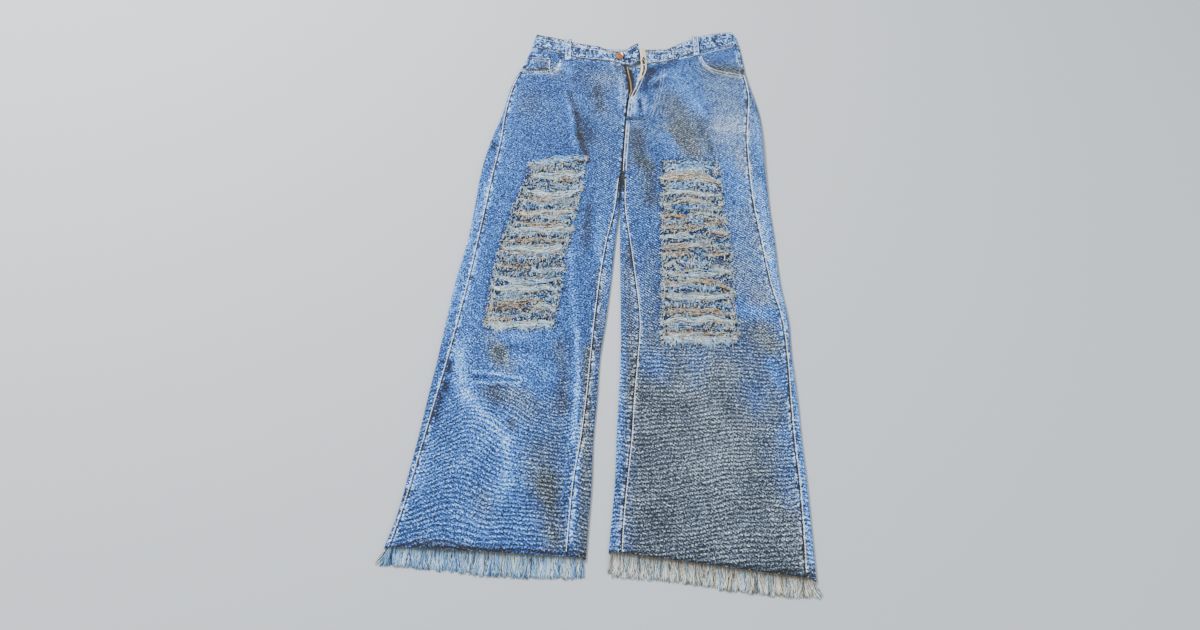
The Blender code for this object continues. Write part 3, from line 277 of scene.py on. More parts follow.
def points_of(mesh):
    """Vertex places as an array of rows x, y, z in metres."""
    places = np.empty(len(mesh.vertices) * 3)
    mesh.vertices.foreach_get("co", places)
    return places.reshape(-1, 3)


def distance_to(places, edges, z_weight=1.0):
    """Distance of each place to the nearest of some edges, in metres."""
    weight = np.array([1.0, 1.0, z_weight])
    places, edges = places * weight, edges * weight
    nearest = np.full(len(places), 1.0)
    for start, end in edges:
        run = end - start
        share = np.clip((places - start) @ run / max(run @ run, 1e-12), 0, 1)
        gap = np.linalg.norm(places - start - share[:, None] * run, axis=1)
        nearest = np.minimum(nearest, gap)
    return nearest


def set_marks(mesh, **marks):
    """Stores one number for each vertex under each name."""
    for name, values in marks.items():
        layer = mesh.attributes.new(name, "FLOAT", "POINT")
        layer.data.foreach_set("value", np.asarray(values, np.float32))


# Streaks and patches of the wash, and of painted shade and highlights: from, to, reach, and how
# much paler or browner the cloth is
# Painted light: some rows are dark lines in fold troughs with pale lines on their ridges, and some
# paint the shade in the gap at the zip, under the band's foot by the turned facing, in a narrow gap
# near the crotch and along the hems' cut edge
WASH_AND_SHADE = (
    # x0, y0, x1, y1, reach, paler, browner
    (-159, 394, -167, 368, 10, 0.1, 0), (-131, 376, -129, 356, 19, -0.02, 0.35),
    (-58, 396, -44, 341, 4, -0.28, 0.7), (-44, 341, -38, 288, 5, -0.3, 0.7),
    (-38, 288, -20, 231, 5, -0.32, 0.7), (-63, 396, -49, 324, 7, 0.12, -0.4),
    (-49, 324, -45, 264, 7, 0.12, -0.5), (-4, 401, 2, 356, 11, -0.12, 0.6),
    (-27, 440, 21, 427, 23, 0.03, 0.4), (-30, 321, -17, 278, 13, -0.16, 0.3),
    (40, 432, 42, 356, 4, 0.28, 0.1), (36, 464, 48, 448, 6, -0.1, 0.5),
    (13, 326, 12, 231, 15, 0, 0.1), (44, 224, 35, 143, 4, -0.6, 0.4),
    (-18, 127, -21, 42, 7, -0.16, 0.35), (2, 108, -4, 13, 7, 0.12, -0.5),
    (-76, 464, -57, 448, 10, 0.14, -0.2), (-106, 469, -84, 450, 12, 0, 0.6),
    (-146, 458, -105, 453, 5, -0.04, 0.7), (146, 474, 101, 449, 8, -0.28, -0.1),
    (101, 449, 84, 401, 8, -0.28, 0), (127, 440, 99, 422, 4, 0.22, 0.3),
    (115, 417, 107, 409, 5, -0.3, 0.3), (67, 386, 66, 348, 6, 0.42, 0.1),
    (77, 376, 79, 346, 2, -0.35, 0.2), (85, 378, 86, 346, 4, 0.25, 0.1),
    (56, 329, 86, 329, 3, -0.3, 0.5), (143, 366, 153, 290, 25, -0.02, 0.75),
    (155, 290, 170, 243, 22, -0.03, 0.75), (143, 448, 180, 376, 15, 0.08, -0.7),
    (180, 376, 191, 341, 9, 0.15, -0.7), (186, 334, 207, 252, 7, -0.14, 0.3),
    (240, 401, 240, 314, 38, 0.12, 0.4), (127, 283, 138, 252, 11, 0.1, -0.9),
    (70, 297, 73, 231, 14, -0.14, 0.75), (92, 219, 94, 140, 13, -0.16, 0.7),
    (118, 231, 103, 163, 9, -0.02, -0.4), (108, 259, 104, 236, 13, -0.06, -0.3),
    (228, 203, 251, 149, 14, 0, -0.6), (258, 254, 264, 208, 11, 0.05, 0.4),
    (294, 314, 296, 219, 7, 0.12, -0.4), (259, 140, 277, 34, 16, 0, 0.3),
    (219, 458, 269, 448, 14, -0.1, 0.95), (222, 506, 266, 501, 10, 0, -0.4),
    (162, -208, 234, -483, 84, -0.02, 0.8), (96, -250, 74, -505, 38, -0.04, 0.8),
    (160, -176, 152, -226, 15, 0.04, -0.4), (93, -190, 103, -230, 14, 0.02, -0.35),
    (123, -285, 124, -308, 15, -0.04, -0.4), (274, -181, 288, -219, 10, 0.08, -0.5),
    (250, -237, 250, -257, 16, 0.02, -0.3), (285, -305, 283, -416, 13, 0.05, -0.45),
    (35, -169, 29, -361, 5, 0.18, -0.4), (27, -361, 20, -497, 5, 0.08, -0.2),
    (50, 34, 55, -250, 7, -0.02, 0.6), (315, -291, 308, -505, 6, 0.22, -0.8),
    (313, -180, 312, -291, 5, 0.2, -0.6), (95, -469, 248, -493, 26, -0.05, 0.2),
    (264, -67, 286, -152, 13, 0.03, 0.35), (89, 34, 86, -143, 10, -0.03, 0.3),
    (-228, -165, -212, -237, 10, 0.2, -0.9), (-212, -237, -142, -317, 10, 0.2, -0.9),
    (-142, -317, -141, -393, 9, 0.17, -0.9), (-161, -161, -163, -180, 9, -0.14, 0.4),
    (-170, -222, -165, -250, 12, -0.1, 0.4), (-137, -288, -136, -302, 5, -0.18, 0.8),
    (-125, -244, -108, -268, 19, 0, 0.55), (-64, -152, -57, -259, 11, -0.06, 0.55),
    (-36, -124, -35, -237, 5, 0.3, -1), (-35, -237, -40, -318, 5, 0.3, -1),
    (-32, -343, -45, -486, 3, 0.38, -1), (-50, 34, -40, -124, 7, 0.16, -0.8),
    (-20, -161, -20, -505, 10, -0.02, 0.85), (3, -7, -3, -161, 7, -0.02, 0.5),
    (-93, -335, -89, -375, 21, -0.03, 0.55), (-77, -391, -63, -475, 14, -0.03, 0.65),
    (-175, -408, -170, -430, 12, -0.02, 0.45), (-262, -477, -132, -496, 6, -0.16, 0.55),
    (-240, -185, -241, -196, 5, -0.45, 0.1), (-244, -219, -244, -230, 5, -0.45, 0.1),
    (-251, -245, -250, -254, 6, -0.4, 0.1), (-254, -268, -254, -278, 5, -0.32, 0.1),
    (-194, 273, -193, 259, 5, -0.3, 0.2), (-260, -318, -274, -414, 8, 0.08, -0.6),
    (-214, 34, -216, -105, 12, 0.05, -0.3), (-145, -152, -88, -165, 7, -0.14, 0.3),
    (57, 450, 63, 392, 6, -1.0, 0.9), (82, 460, 67, 404, 2.5, 0.35, 0),
    (67, 404, 52, 345, 2.5, 0.35, 0), (-151, 441, -116, 443, 2.5, 0.22, 0),
    (-116, 443, -91, 444, 2.5, 0.22, 0), (-91, 444, -80, 454, 2.5, 0.22, 0),
    (-80, 454, -74, 474, 2.5, 0.22, 0), (199, 487, 204, 468, 2.5, 0.22, 0),
    (204, 468, 218, 449, 2.5, 0.22, 0), (218, 449, 243, 441, 2.5, 0.22, 0),
    (243, 441, 279, 433, 2.5, 0.22, 0), (-306, -482, -19, -496, 4, -0.3, 0.2),
    (9, -492, 306, -526, 4, -0.3, 0.2), (-196, 300, -262, -60, 60, 0.06, -0.2),
    (245, 300, 290, -40, 56, 0.13, 0.15), (20, 150, 20, -100, 34, 0.04, 0),
    (-175, -132, -165, -162, 15, 0, 0.5), (-165, -162, -145, -194, 13, 0, 0.6),
    (-203, -200, -118, -212, 3, 0.34, -0.6), (-200, -209, -129, -215, 2.5, -0.24, 0),
    (-201, -218, -128, -220, 3, 0.3, -0.6), (-198, -226, -141, -227, 3, -0.2, 0.2),
    (-187, -238, -151, -241, 14, 0, 0.4), (-224, -144, -224, -215, 12, 0.12, -0.8),
    (-132, -135, -90, -203, 18, 0.06, -0.6), (-63, -271, -79, -404, 20, -0.02, 0.25),
    (-79, -404, -68, -478, 22, -0.02, 0.2), (-160, -200, -160, -430, 95, 0.09, -0.1),
    (170, -200, 190, -460, 100, 0.07, 0.1), (93, -189, 124, -229, 20, 0.03, -0.25),
    (-196, 180, -227, 54, 8, 0.15, -0.3), (-227, 54, -247, -48, 9, 0.15, -0.3),
    (-247, -48, -258, -143, 9, 0.12, -0.3), (-150, -132, -88, -128, 12, 0.06, -0.5),
    (288, 180, 293, 16, 6, 0.14, -0.3), (293, 16, 304, -60, 6, 0.14, -0.3),
    (304, -60, 307, -132, 6, 0.14, -0.3), (229, -81, 279, -94, 9, 0.1, -0.9),
    (227, 8, 271, -40, 22, 0.02, 0.4), (235, -121, 278, -153, 16, 0, 0.3),
    (160, -330, 180, -500, 90, 0.02, 0.25), (262, -120, 290, -500, 16, 0.03, 0.3),
)
SLUB_BENDS = (
    # x, y, reach_x, reach_y, rise of the rows in the middle, slope there
    (-205, -270, 46, 150, 34, 0.0), (-262, -430, 60, 90, 18, 0.35), (-170, -450, 80, 60, 0, 0.18),
    (-110, -230, 60, 90, 0, -0.75), (-78, -140, 28, 130, 0, -0.7), (-35, -300, 11, 500, 5, 0.0),
    (-120, 100, 200, 120, 0, -0.5), (30, -150, 12, 500, 5, 0.0), (150, -400, 150, 130, 0, 0.20),
    (240, -230, 60, 90, 0, -0.15), (262, 170, 50, 170, 0, -0.9), (240, -60, 60, 80, 0, -0.35),
    (110, 120, 60, 200, 0, -0.6), (165, 300, 90, 110, 0, -0.8), (305, -300, 12, 300, 6, 0.0),
)


def streak_share(x, y, x0, y0, x1, y1, reach):
    """How near each place is to a streak: 1 on it, falling off softly with its reach."""
    run_x, run_y = x1 - x0, y1 - y0
    along = np.clip(((x - x0) * run_x + (y - y0) * run_y) / (run_x ** 2 + run_y ** 2), 0, 1)
    return np.exp(-((x - x0 - along * run_x) ** 2 + (y - y0 - along * run_y) ** 2) / reach ** 2)


def wash_marks(places):
    """Paler and browner places of the wash, with painted shade and highlights, as two numbers for
    each vertex.

    The brown runs out wider and fainter than the pale streaks.
    """
    x, y = places[:, 0] / MM, places[:, 1] / MM
    paler, browner = np.zeros(len(x)), np.zeros(len(x))
    for *streak, reach, pale, brown in WASH_AND_SHADE:
        paler += pale * streak_share(x, y, *streak, reach)
        browner += brown * streak_share(x, y, *streak, reach * 1.3)
    return paler, browner


def slub_marks(places):
    """Phase of the slub rows, which bend as the cloth was stretched, their strength, and that of
    the twill lines, which the wash brought out on the left thigh."""
    x, y = places[:, 0] / MM, places[:, 1] / MM
    phase = y.copy()
    for middle_x, middle_y, reach_x, reach_y, rise, slope in SLUB_BENDS:
        share = np.exp(-((x - middle_x) / reach_x) ** 2 - ((y - middle_y) / reach_y) ** 2)
        phase -= (rise + slope * (x - middle_x)) * share
    right_leg = 0.1 + 0.95 * np.clip((-170 - y) / 110, 0, 1)
    right_leg += 0.5 * np.exp(-((x + 50) / 25) ** 2 - ((y + 60) / 110) ** 2)
    left_leg = 0.2 * np.clip((240 - y) / 60, 0, 1) + 0.8 * np.clip((-90 - y) / 70, 0, 1)
    strength = np.where(x < -5, right_leg, left_leg)
    lines = np.where(x < -5, 0.3, 0.4 + 0.6 * np.clip((y + 160) / 80, 0, 1))
    return phase * MM, strength, lines


def dress(name, build, materials, stands_for=()):
    """A finished piece from its mesh: it rides on the garment and stands for its solids."""
    mesh = bpy.data.meshes.new(name)
    build.to_mesh(mesh)
    build.free()
    mesh.shade_smooth()
    mesh.set_sharp_from_angle(angle=math.radians(50))
    for material in materials:
        mesh.materials.append(material)
    piece = bpy.data.objects.new(name, mesh)
    bpy.context.scene.collection.objects.link(piece)
    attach(piece, "root")
    if stands_for:
        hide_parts(*stands_for)
    return piece


def mark_cloth(piece, rings, hem_y=None, z_weight=6.0, ditch=0.3):
    """Marks a panel's seams, rips, wash with its painted shade and highlights, slub rows and the
    strength of its painted ditch shade on its vertices.
    """
    places = points_of(piece.data)
    outline = rings[0]
    if hem_y is not None:
        level = np.abs(np.ptp(outline[:, :, 1], axis=1)) < 0.3 * np.ptp(outline[:, :, 0], axis=1)
        outline = outline[~(level & (outline[:, :, 1].max(axis=1) < hem_y * MM))]
    fray = np.zeros(len(places))
    if len(rings) > 1:
        fray = np.exp(-(distance_to(places, np.concatenate(rings[1:])) / (4 * MM)) ** 2)
    paler, browner = wash_marks(places)
    phase, strength, lines = slub_marks(places)
    set_marks(piece.data, seam=distance_to(places, outline, z_weight), fray=fray, fade=paler,
              brown=browner, slub=phase, rib=strength, twill=lines,
              ditch=np.full(len(places), ditch))


def tree_of(*pieces):
    """Search tree of some finished pieces, for heights."""
    verts, faces = [], []
    for piece in pieces:
        start = len(verts)
        verts.extend(vert.co.copy() for vert in piece.data.vertices)
        faces.extend([start + v for v in face.vertices] for face in piece.data.polygons)
    return BVHTree.FromPolygons(verts, faces)


def height_over(tree, x, y, otherwise=0.0):
    """Height of the topmost face at a place, metres."""
    hit = tree.ray_cast(Vector((x, y, 0.1)), Vector((0, 0, -1)))[0]
    return otherwise if hit is None else hit.z


DENIM = washed_denim("Stone-washed cotton twill")
DENIM_INSIDE = denim_inside("Cotton twill, weft face", "#5E7187", "#B9C4CC")
backs = {}
for side, side_name in SIDES.items():
    node = "back_" + side_name
    build, rings = open_solid(node, -1)
    fine_cloth(build, PANEL_CUTS)
    piece = dress("back_panel_" + side_name, build, [DENIM, DENIM_INSIDE], [node])
    mark_cloth(piece, rings, -470)
    backs[side] = piece
back_tree = tree_of(*backs.values())

# Yokes, back pockets and back belt loops
# The V-shaped yokes between the back panels and the waistband, the two patch pockets and the
# three back loops, all of the same twill, flat between the seat and the floor.
FLAT_POCKET = (0.146, 0.162, 0.0222)
FLAT_LOOP = (0.013, 0.055)
under_pieces = {}
for side_name in SIDES.values():
    build, rings = open_solid("yoke_" + side_name, -1)
    fine_cloth(build, PANEL_CUTS)
    piece = dress("back_yoke_" + side_name, build, [DENIM, DENIM_INSIDE],
                  ["yoke_" + side_name])
    mark_cloth(piece, rings)
for node, flat in (("back_pocket_right", FLAT_POCKET), ("back_pocket_left", FLAT_POCKET),
                   ("belt_loop_back_right", FLAT_LOOP), ("belt_loop_back_centre", FLAT_LOOP),
                   ("belt_loop_back_left", FLAT_LOOP)):
    build, rings = open_solid(node, -1)
    fine_cloth(build, 4)
    piece = dress("seat_" + node, build, [DENIM, DENIM_INSIDE], [node])
    mark_cloth(piece, rings)
    under_pieces[node] = piece

# Pocket facings and coin pocket
# Denim facings that show in the scooped pocket openings, and the small patch pocket on the
# right one, hemmed at its mouth and sewn down with two lines.
facings = {}
for side, side_name in SIDES.items():
    node = "pocket_facing_" + side_name
    build, rings = open_solid(node, 1)
    fine_cloth(build, PANEL_CUTS)
    piece = dress("facing_" + side_name, build, [DENIM, DENIM_INSIDE], [node])
    mark_cloth(piece, rings)
    facings[side] = piece
build, rings = open_solid("coin_pocket", 1)
fine_cloth(build, PANEL_CUTS)
coin_pocket = dress("coin_pocket_patch", build, [DENIM, DENIM_INSIDE], ["coin_pocket"])
mark_cloth(coin_pocket, rings)

# Front panels
# Two panels of the same twill with the scooped pocket openings, slack over the hips and the
# thighs, and each cut through by a ladder of rips. Folds fall from the waist and the crotch.
CREASES = (
    # x0, y0, x1, y1, bow, width, height; below zero it is a trough
    (-52, 470, -40, 300, 6, 7, 1.0), (-62, 440, -70, 330, -4, 8, -0.7),
    (-20, 470, -6, 300, -6, 6, 0.9), (6, 460, 22, 280, 5, 6, -0.8),
    (28, 440, 40, 270, 3, 5, 0.8), (-100, 440, -140, 300, 8, 9, 0.8),
    (-150, 410, -185, 260, 6, 7, -0.8), (-120, 380, -80, 260, -8, 8, 0.7),
    (-15, 330, -30, 150, 4, 6, 1.1), (8, 260, -12, 60, 3, 5, -0.9),
    (24, 250, 6, 20, 4, 4, 0.8), (-160, 300, -190, 120, 5, 8, 0.9),
    (-200, 160, -225, -40, 4, 6, -0.8), (-190, 60, -215, -120, 4, 6, 0.9),
    (-45, 60, -60, -180, 4, 6, 1.1), (-22, 60, -36, -260, 2, 4, -0.8),
    (-12, -40, -22, -380, 2, 4, 1.0), (-205, -196, -112, -210, 8, 6, 1.2),
    (-210, -214, -120, -232, 6, 5, -1.1), (-196, -240, -128, -262, 5, 6, 0.9),
    (-220, -160, -150, -172, -6, 6, -0.8), (-120, -180, -150, -330, 6, 9, 0.8),
    (-80, -200, -92, -440, -5, 9, 0.9), (-240, -200, -262, -420, 5, 8, -0.8),
    (-180, -290, -214, -470, -6, 10, 0.8), (-110, -380, -130, -492, 4, 7, -0.7),
    (80, 440, 92, 300, -4, 6, 0.9), (104, 440, 140, 290, 6, 7, 0.9),
    (130, 440, 190, 320, 8, 7, -0.8), (160, 420, 240, 240, 10, 8, 1.0),
    (205, 430, 258, 260, 8, 6, -0.8), (64, 300, 70, 130, 3, 5, 0.9),
    (80, 240, 90, 20, 3, 6, -0.9), (100, 200, 96, -60, -3, 6, 0.8),
    (262, 280, 262, 60, 3, 6, 0.8), (238, 180, 246, -20, 3, 6, -0.8),
    (232, -42, 298, -74, 6, 6, 1.2), (228, -60, 292, -104, 6, 6, -1.1),
    (236, -88, 286, -128, 4, 5, 0.8), (250, -140, 300, -176, 5, 5, -0.8),
    (90, -150, 96, -420, 4, 8, 0.9), (130, -170, 150, -330, -5, 9, -0.7),
    (170, -170, 176, -300, 4, 9, 0.8), (205, -200, 215, -470, 5, 9, 0.8),
    (60, -60, 48, -300, -2, 5, 0.8), (255, -240, 262, -500, 4, 8, -0.8),
)


def crease_lift(places):
    """How far the creases lift each place, metres: soft ridges and troughs, uneven in depth."""
    x, y = places[:, 0] / MM, places[:, 1] / MM
    lift = np.zeros(len(x))
    for number, (x0, y0, x1, y1, bow, width, height) in enumerate(CREASES):
        run_x, run_y = x1 - x0, y1 - y0
        length = math.hypot(run_x, run_y)
        along = ((x - x0) * run_x + (y - y0) * run_y) / length ** 2
        across = ((x - x0) * run_y - (y - y0) * run_x) / length
        across = across - bow * (1 - (2 * along - 1) ** 2)
        taper = np.clip(along / 0.3, 0, 1) * np.clip((1 - along) / 0.3, 0, 1)
        uneven = 0.75 + 0.25 * np.sin(along * 9 + number * 1.7)
        reach = width * (0.8 + 0.4 * np.sin(along * 5 + number))
        lift += height * uneven * taper * np.exp(-(across / reach) ** 2)
    return lift * MM


LADDERS = {
    # y, left edge, right edge of each thigh's ripped field
    -1: ((229, -119, -27), (133, -149, -41), (57, -169, -57), (-25, -181, -65), (-119, -187, -75)),
    1: ((233, 117, 215), (127, 112, 220), (17, 108, 226), (-83, 105, 223), (-151, 103, 227)),
}
LADDER_SHADE = 0.24     # the denim left between the rips is darker, in the shade of the yarns


def ladder_sides(side, y):
    """Left and right x of a ripped field at some heights, millimetres."""
    rows = np.array(sorted(LADDERS[side]))
    return np.interp(y, rows[:, 0], rows[:, 1]), np.interp(y, rows[:, 0], rows[:, 2])


fronts = {}
for side, side_name in SIDES.items():
    node = "front_" + side_name
    build, rings = open_solid(node, 1)
    fine_cloth(build, PANEL_CUTS)
    piece = dress("front_panel_" + side_name, build, [DENIM, DENIM_INSIDE], [node])
    # the fronts take the full painted shade in the ditch beside their seams
    mark_cloth(piece, rings, -470, 1.0, ditch=1.0)
    places = points_of(piece.data)
    edge = np.clip(distance_to(places, rings[0]) / (12 * MM), 0, 1)
    places[:, 2] += crease_lift(places) * edge
    x, y = places[:, 0] / MM, places[:, 1] / MM
    left, right = ladder_sides(side, y)
    # Painted shade: the denim of the ripped field, and a few millimetres round it, is darkened as
    # if in the shade of the yarns, through the wash mark
    ladder_shade_mask = np.clip(np.minimum(x - left + 8, right + 5 - x) / 8, 0, 1)
    ladder_shade_mask *= np.clip(np.minimum(LADDERS[side][0][0] + 2 - y, y - LADDERS[side][-1][0]) / 6, 0, 1)
    paler, _ = wash_marks(places)
    piece.data.attributes["fade"].data.foreach_set(
        "value", (paler - LADDER_SHADE * ladder_shade_mask).astype(np.float32))
    piece.data.vertices.foreach_set("co", places.ravel())
    piece.data.update()
    fronts[side] = piece
front_tree = tree_of(*fronts.values())

# Fly: shield, zip and its slider
# The underlap of single denim, two woven tapes with brass teeth along their free edges, and
# the antiqued slider at the foot of the open zip. The slider stays on its solid.
TOOTH_PITCH = 2.1
TOOTH_LENGTH, TOOTH_RADIUS = 3.6, 0.85
TEETH_START, TEETH_END = 346.0, 464.0


def strand_mesh(name, paths, radii, material, tints=None, sides=3):
    """Many strands of equal point count as one joined mesh.

    paths is an array of strand, point, xyz; radii one of strand, point; tints one colour for
    each strand, or for each of its points, kept as the attribute "tint".
    """
    paths, radii = np.asarray(paths, float), np.asarray(radii, float)
    count, points = radii.shape
    run = np.gradient(paths, axis=1)
    run /= np.maximum(np.linalg.norm(run, axis=2, keepdims=True), 1e-9)
    up = np.where(np.abs(run[..., 2:3]) > 0.8, [[[1.0, 0, 0]]], [[[0, 0, 1.0]]])
    across = np.cross(run, up)
    across /= np.maximum(np.linalg.norm(across, axis=2, keepdims=True), 1e-9)
    over = np.cross(across, run)
    turn = np.arange(sides) * math.tau / sides + math.pi / 2
    ring = (across[:, :, None] * np.cos(turn)[:, None] + over[:, :, None] * np.sin(turn)[:, None])
    places = paths[:, :, None] + ring * radii[:, :, None, None]
    index = np.arange(count * points * sides).reshape(count, points, sides)
    near, far = index[:, :-1], index[:, 1:]
    quads = np.stack([near, np.roll(near, -1, 2), np.roll(far, -1, 2), far], axis=-1)
    quads = quads.reshape(-1, 4)
    mesh = bpy.data.meshes.new(name)
    ends = [np.flip(index[:, 0], axis=1), index[:, -1]]
    faces = quads.tolist() + ends[0].tolist() + ends[1].tolist()
    mesh.from_pydata(places.reshape(-1, 3).tolist(), [], faces)
    mesh.shade_smooth()
    if tints is not None:
        tints = np.asarray(tints, np.float32)
        if tints.ndim == 2:
            tints = np.repeat(tints[:, None], points, axis=1)
        layer = mesh.attributes.new("tint", "FLOAT_COLOR", "POINT")
        layer.data.foreach_set("color", np.repeat(tints, sides, axis=1).ravel())
    mesh.materials.append(material)
    piece = bpy.data.objects.new(name, mesh)
    bpy.context.scene.collection.objects.link(piece)
    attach(piece, "root")
    return piece


def border_line(nodes, axis, places, end):
    """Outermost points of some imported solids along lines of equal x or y, highest first.

    axis 1 gives for each y the point of least (end -1) or greatest (end 1) x, axis 0 the same
    for each x with its y.
    """
    starts, stops = [], []
    for node in nodes:
        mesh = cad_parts[node].data
        points = points_of(mesh)
        pairs = np.array([edge.vertices[:] for edge in mesh.edges])
        starts.append(points[pairs[:, 0]])
        stops.append(points[pairs[:, 1]])
    starts, stops = np.concatenate(starts), np.concatenate(stops)
    line = []
    for place in places:
        at = place * MM
        low, high = starts[:, axis], stops[:, axis]
        crossing = (np.minimum(low, high) <= at) & (np.maximum(low, high) > at)
        if not crossing.any():
            continue
        first, last = starts[crossing], stops[crossing]
        share = (at - first[:, axis]) / (last[:, axis] - first[:, axis])
        found = first + (last - first) * share[:, None]
        reach = found[:, 1 - axis] * end
        near = found[reach > reach.max() - 0.0003]
        line.append(near[near[:, 2].argmax()])
    return np.array(line)


def antique_brass():
    """Brass dulled in a dark bath and rubbed back: brown and yellow in patches."""
    material, tree, shader = new_material("Antiqued brass", 0.42, Metallic=1.0)
    place = add_node(tree, "ShaderNodeTexCoord").outputs["Object"]
    patches = add_node(tree, "ShaderNodeTexNoise", {"Vector": place, "Scale": 700.0})
    ramp = add_node(tree, "ShaderNodeValToRGB", {"Fac": patches.outputs["Fac"]})
    ramp.color_ramp.elements[0].position, ramp.color_ramp.elements[1].position = 0.35, 0.65
    ramp.color_ramp.elements[0].color = linear("#846A44")
    ramp.color_ramp.elements[1].color = linear("#E2C08C")
    tree.links.new(ramp.outputs["Color"], shader.inputs["Base Color"])
    return material


def zip_tape():
    """Woven polyester zip tape, navy, with a fine herringbone that reads as even ribs."""
    material, tree, shader = new_material("Woven polyester tape", 0.8)
    place = add_node(tree, "ShaderNodeTexCoord").outputs["Object"]
    ribs = add_node(tree, "ShaderNodeTexWave",
                    {"Vector": place, "Scale": 0.314 / (1.2 * MM), "Distortion": 1.0},
                    bands_direction="Y")
    ramp = add_node(tree, "ShaderNodeValToRGB", {"Fac": ribs.outputs["Fac"]})
    ramp.color_ramp.elements[0].color = linear("#1C2330")
    ramp.color_ramp.elements[1].color = linear("#333F54")
    tree.links.new(ramp.outputs["Color"], shader.inputs["Base Color"])
    bump = add_node(tree, "ShaderNodeBump",
                    {"Height": ribs.outputs["Fac"], "Strength": 0.4, "Distance": 0.3 * MM})
    tree.links.new(bump.outputs["Normal"], shader.inputs["Normal"])
    return material


BRASS = antique_brass()
TAPE = zip_tape()
build, rings = open_solid("fly_shield", 1)
fine_cloth(build, 8)
shield = dress("fly_underlap", build, [DENIM, DENIM_INSIDE], ["fly_shield"])
mark_cloth(shield, rings)
for side, side_name in SIDES.items():
    build, rings = open_solid("zip_tape_" + side_name, 1)
    fine_cloth(build, 3)
    tape = dress("zip_tape_woven_" + side_name, build, [TAPE, TAPE],
                 ["zip_tape_" + side_name])
    rows = np.arange(TEETH_START, TEETH_END, TOOTH_PITCH)
    edge = border_line(["zip_tape_" + side_name], 1, rows, -side)
    paths, radii = [], []
    for x, y, z in edge:
        start = x + side * TOOTH_LENGTH * 0.35 * MM
        end = x - side * TOOTH_LENGTH * 0.65 * MM
        paths.append([(start, y, z), ((start + end) / 2, y, z + 0.0002), (end, y, z)])
        radii.append([TOOTH_RADIUS * 0.7 * MM, TOOTH_RADIUS * MM, TOOTH_RADIUS * 0.8 * MM])
    strand_mesh("zip_teeth_" + side_name, paths, radii, BRASS, sides=4)
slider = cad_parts["zip_slider"]
slider.data.materials.clear()
slider.data.materials.append(BRASS)

# Waistband
# One straight strip of two layers round the waist, 35 mm wide, button end under and
# buttonhole end over. Its wash has roped it into light puckers and dark hollows.
BAND_DENIM = washed_denim("Stone-washed cotton twill, roped", rope_reach=60.0, rope_light=0.5,
                          rope_pitch=7.5, row_depth=0.0, worn=0.03)
build, rings = open_solid("waistband", 1)
bmesh.ops.subdivide_edges(build, edges=build.edges[:], cuts=PANEL_CUTS, use_grid_fill=True)
waistband = dress("waistband_strip", build, [BAND_DENIM, DENIM_INSIDE], ["waistband"])
mark_cloth(waistband, rings)

# Turned-out fly facing
# The inner facing of the left fly, single denim with its pale face out, folded back over the
# buttonhole end of the band, with a worked buttonhole in it.
build, rings = open_solid("fly_facing", 1)
fine_cloth(build, PANEL_CUTS)
TINTED_INSIDE = denim_inside("Cotton twill, weft face, tinted", "#7A6E56", "#E0D6C2")
turned = dress("fly_facing_turned", build, [TINTED_INSIDE, DENIM], ["fly_facing"])
mark_cloth(turned, rings)

# Front belt loops
# Strips of folded denim over the band, sewn along both edges and tacked at the foot.
LOOP_DENIM = washed_denim("Stone-washed cotton twill, rubbed pale", rope_reach=60.0,
                          rope_light=0.3, rope_pitch=6.0, row_depth=0.0, worn=0.28)
front_loops = {}
for side, side_name in SIDES.items():
    node = "belt_loop_front_" + side_name
    build, rings = open_solid(node, 1)
    fine_cloth(build, 4)
    piece = dress("belt_loop_" + side_name, build, [LOOP_DENIM, DENIM_INSIDE], [node])
    mark_cloth(piece, rings)
    front_loops[side] = piece

# Button
# A pressed copper cap on a shank, with a rolled rim and a shallow dish. It stays on its solid.
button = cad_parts["button"]


def satin_copper():
    """Copper-plated steel cap, satin from wear, darker and lighter in patches."""
    material, tree, shader = new_material("Satin copper plate", 0.36, Metallic=1.0)
    place = add_node(tree, "ShaderNodeTexCoord").outputs["Object"]
    patches = add_node(tree, "ShaderNodeTexNoise",
                       {"Vector": place, "Scale": 420.0, "Detail": 3.0})
    ramp = add_node(tree, "ShaderNodeValToRGB", {"Fac": patches.outputs["Fac"]})
    ramp.color_ramp.elements[0].position, ramp.color_ramp.elements[1].position = 0.3, 0.7
    ramp.color_ramp.elements[0].color = linear("#9A5C33")
    ramp.color_ramp.elements[1].color = linear("#E0A070")
    tree.links.new(ramp.outputs["Color"], shader.inputs["Base Color"])
    return material


button.data.materials.clear()
button.data.materials.append(satin_copper())

# Hem fringes
# The hems are cut off raw: for 25 to 40 mm the weft is gone, and the loose warp hangs in white
# and faded blue yarns, crimped from the weave and fanned at the corners. Painted shade darkens
# the yarns towards their roots, under the cut edge, and dims some almost to black between locks.
HEM_LOCKS = 105
LOCK_YARNS = 15
HEM_POINTS = 9
HEM_RADIUS = 0.64
HEM_ROOT = 3.0          # the yarns start this far up under the cut edge
HEM_TIPS = {
    # x and y of the fringe's uneven lower edge
    -1: ((-312, -508), (-300, -512), (-287, -512), (-229, -518), (-171, -524), (-113, -528),
         (-56, -530), (-19, -528)),
    1: ((7, -526), (59, -530), (116, -535), (150, -539), (173, -544), (229, -552), (270, -557),
        (312, -558)),
}
HEM_FAN = 13.0          # how far the outer corner fans out
ROOT_BROWN = np.array((0.62, 0.52, 0.40, 1.0))
HEM_LIGHT = {-1: 1.1, 1: 0.95}     # the right leg's fringe is whiter, the left leg's tinted
HEM_MIX = {-1: ("white", "sky", "pale", "sky", "white"),
           1: ("white", "cream", "white", "cream", "cream")}
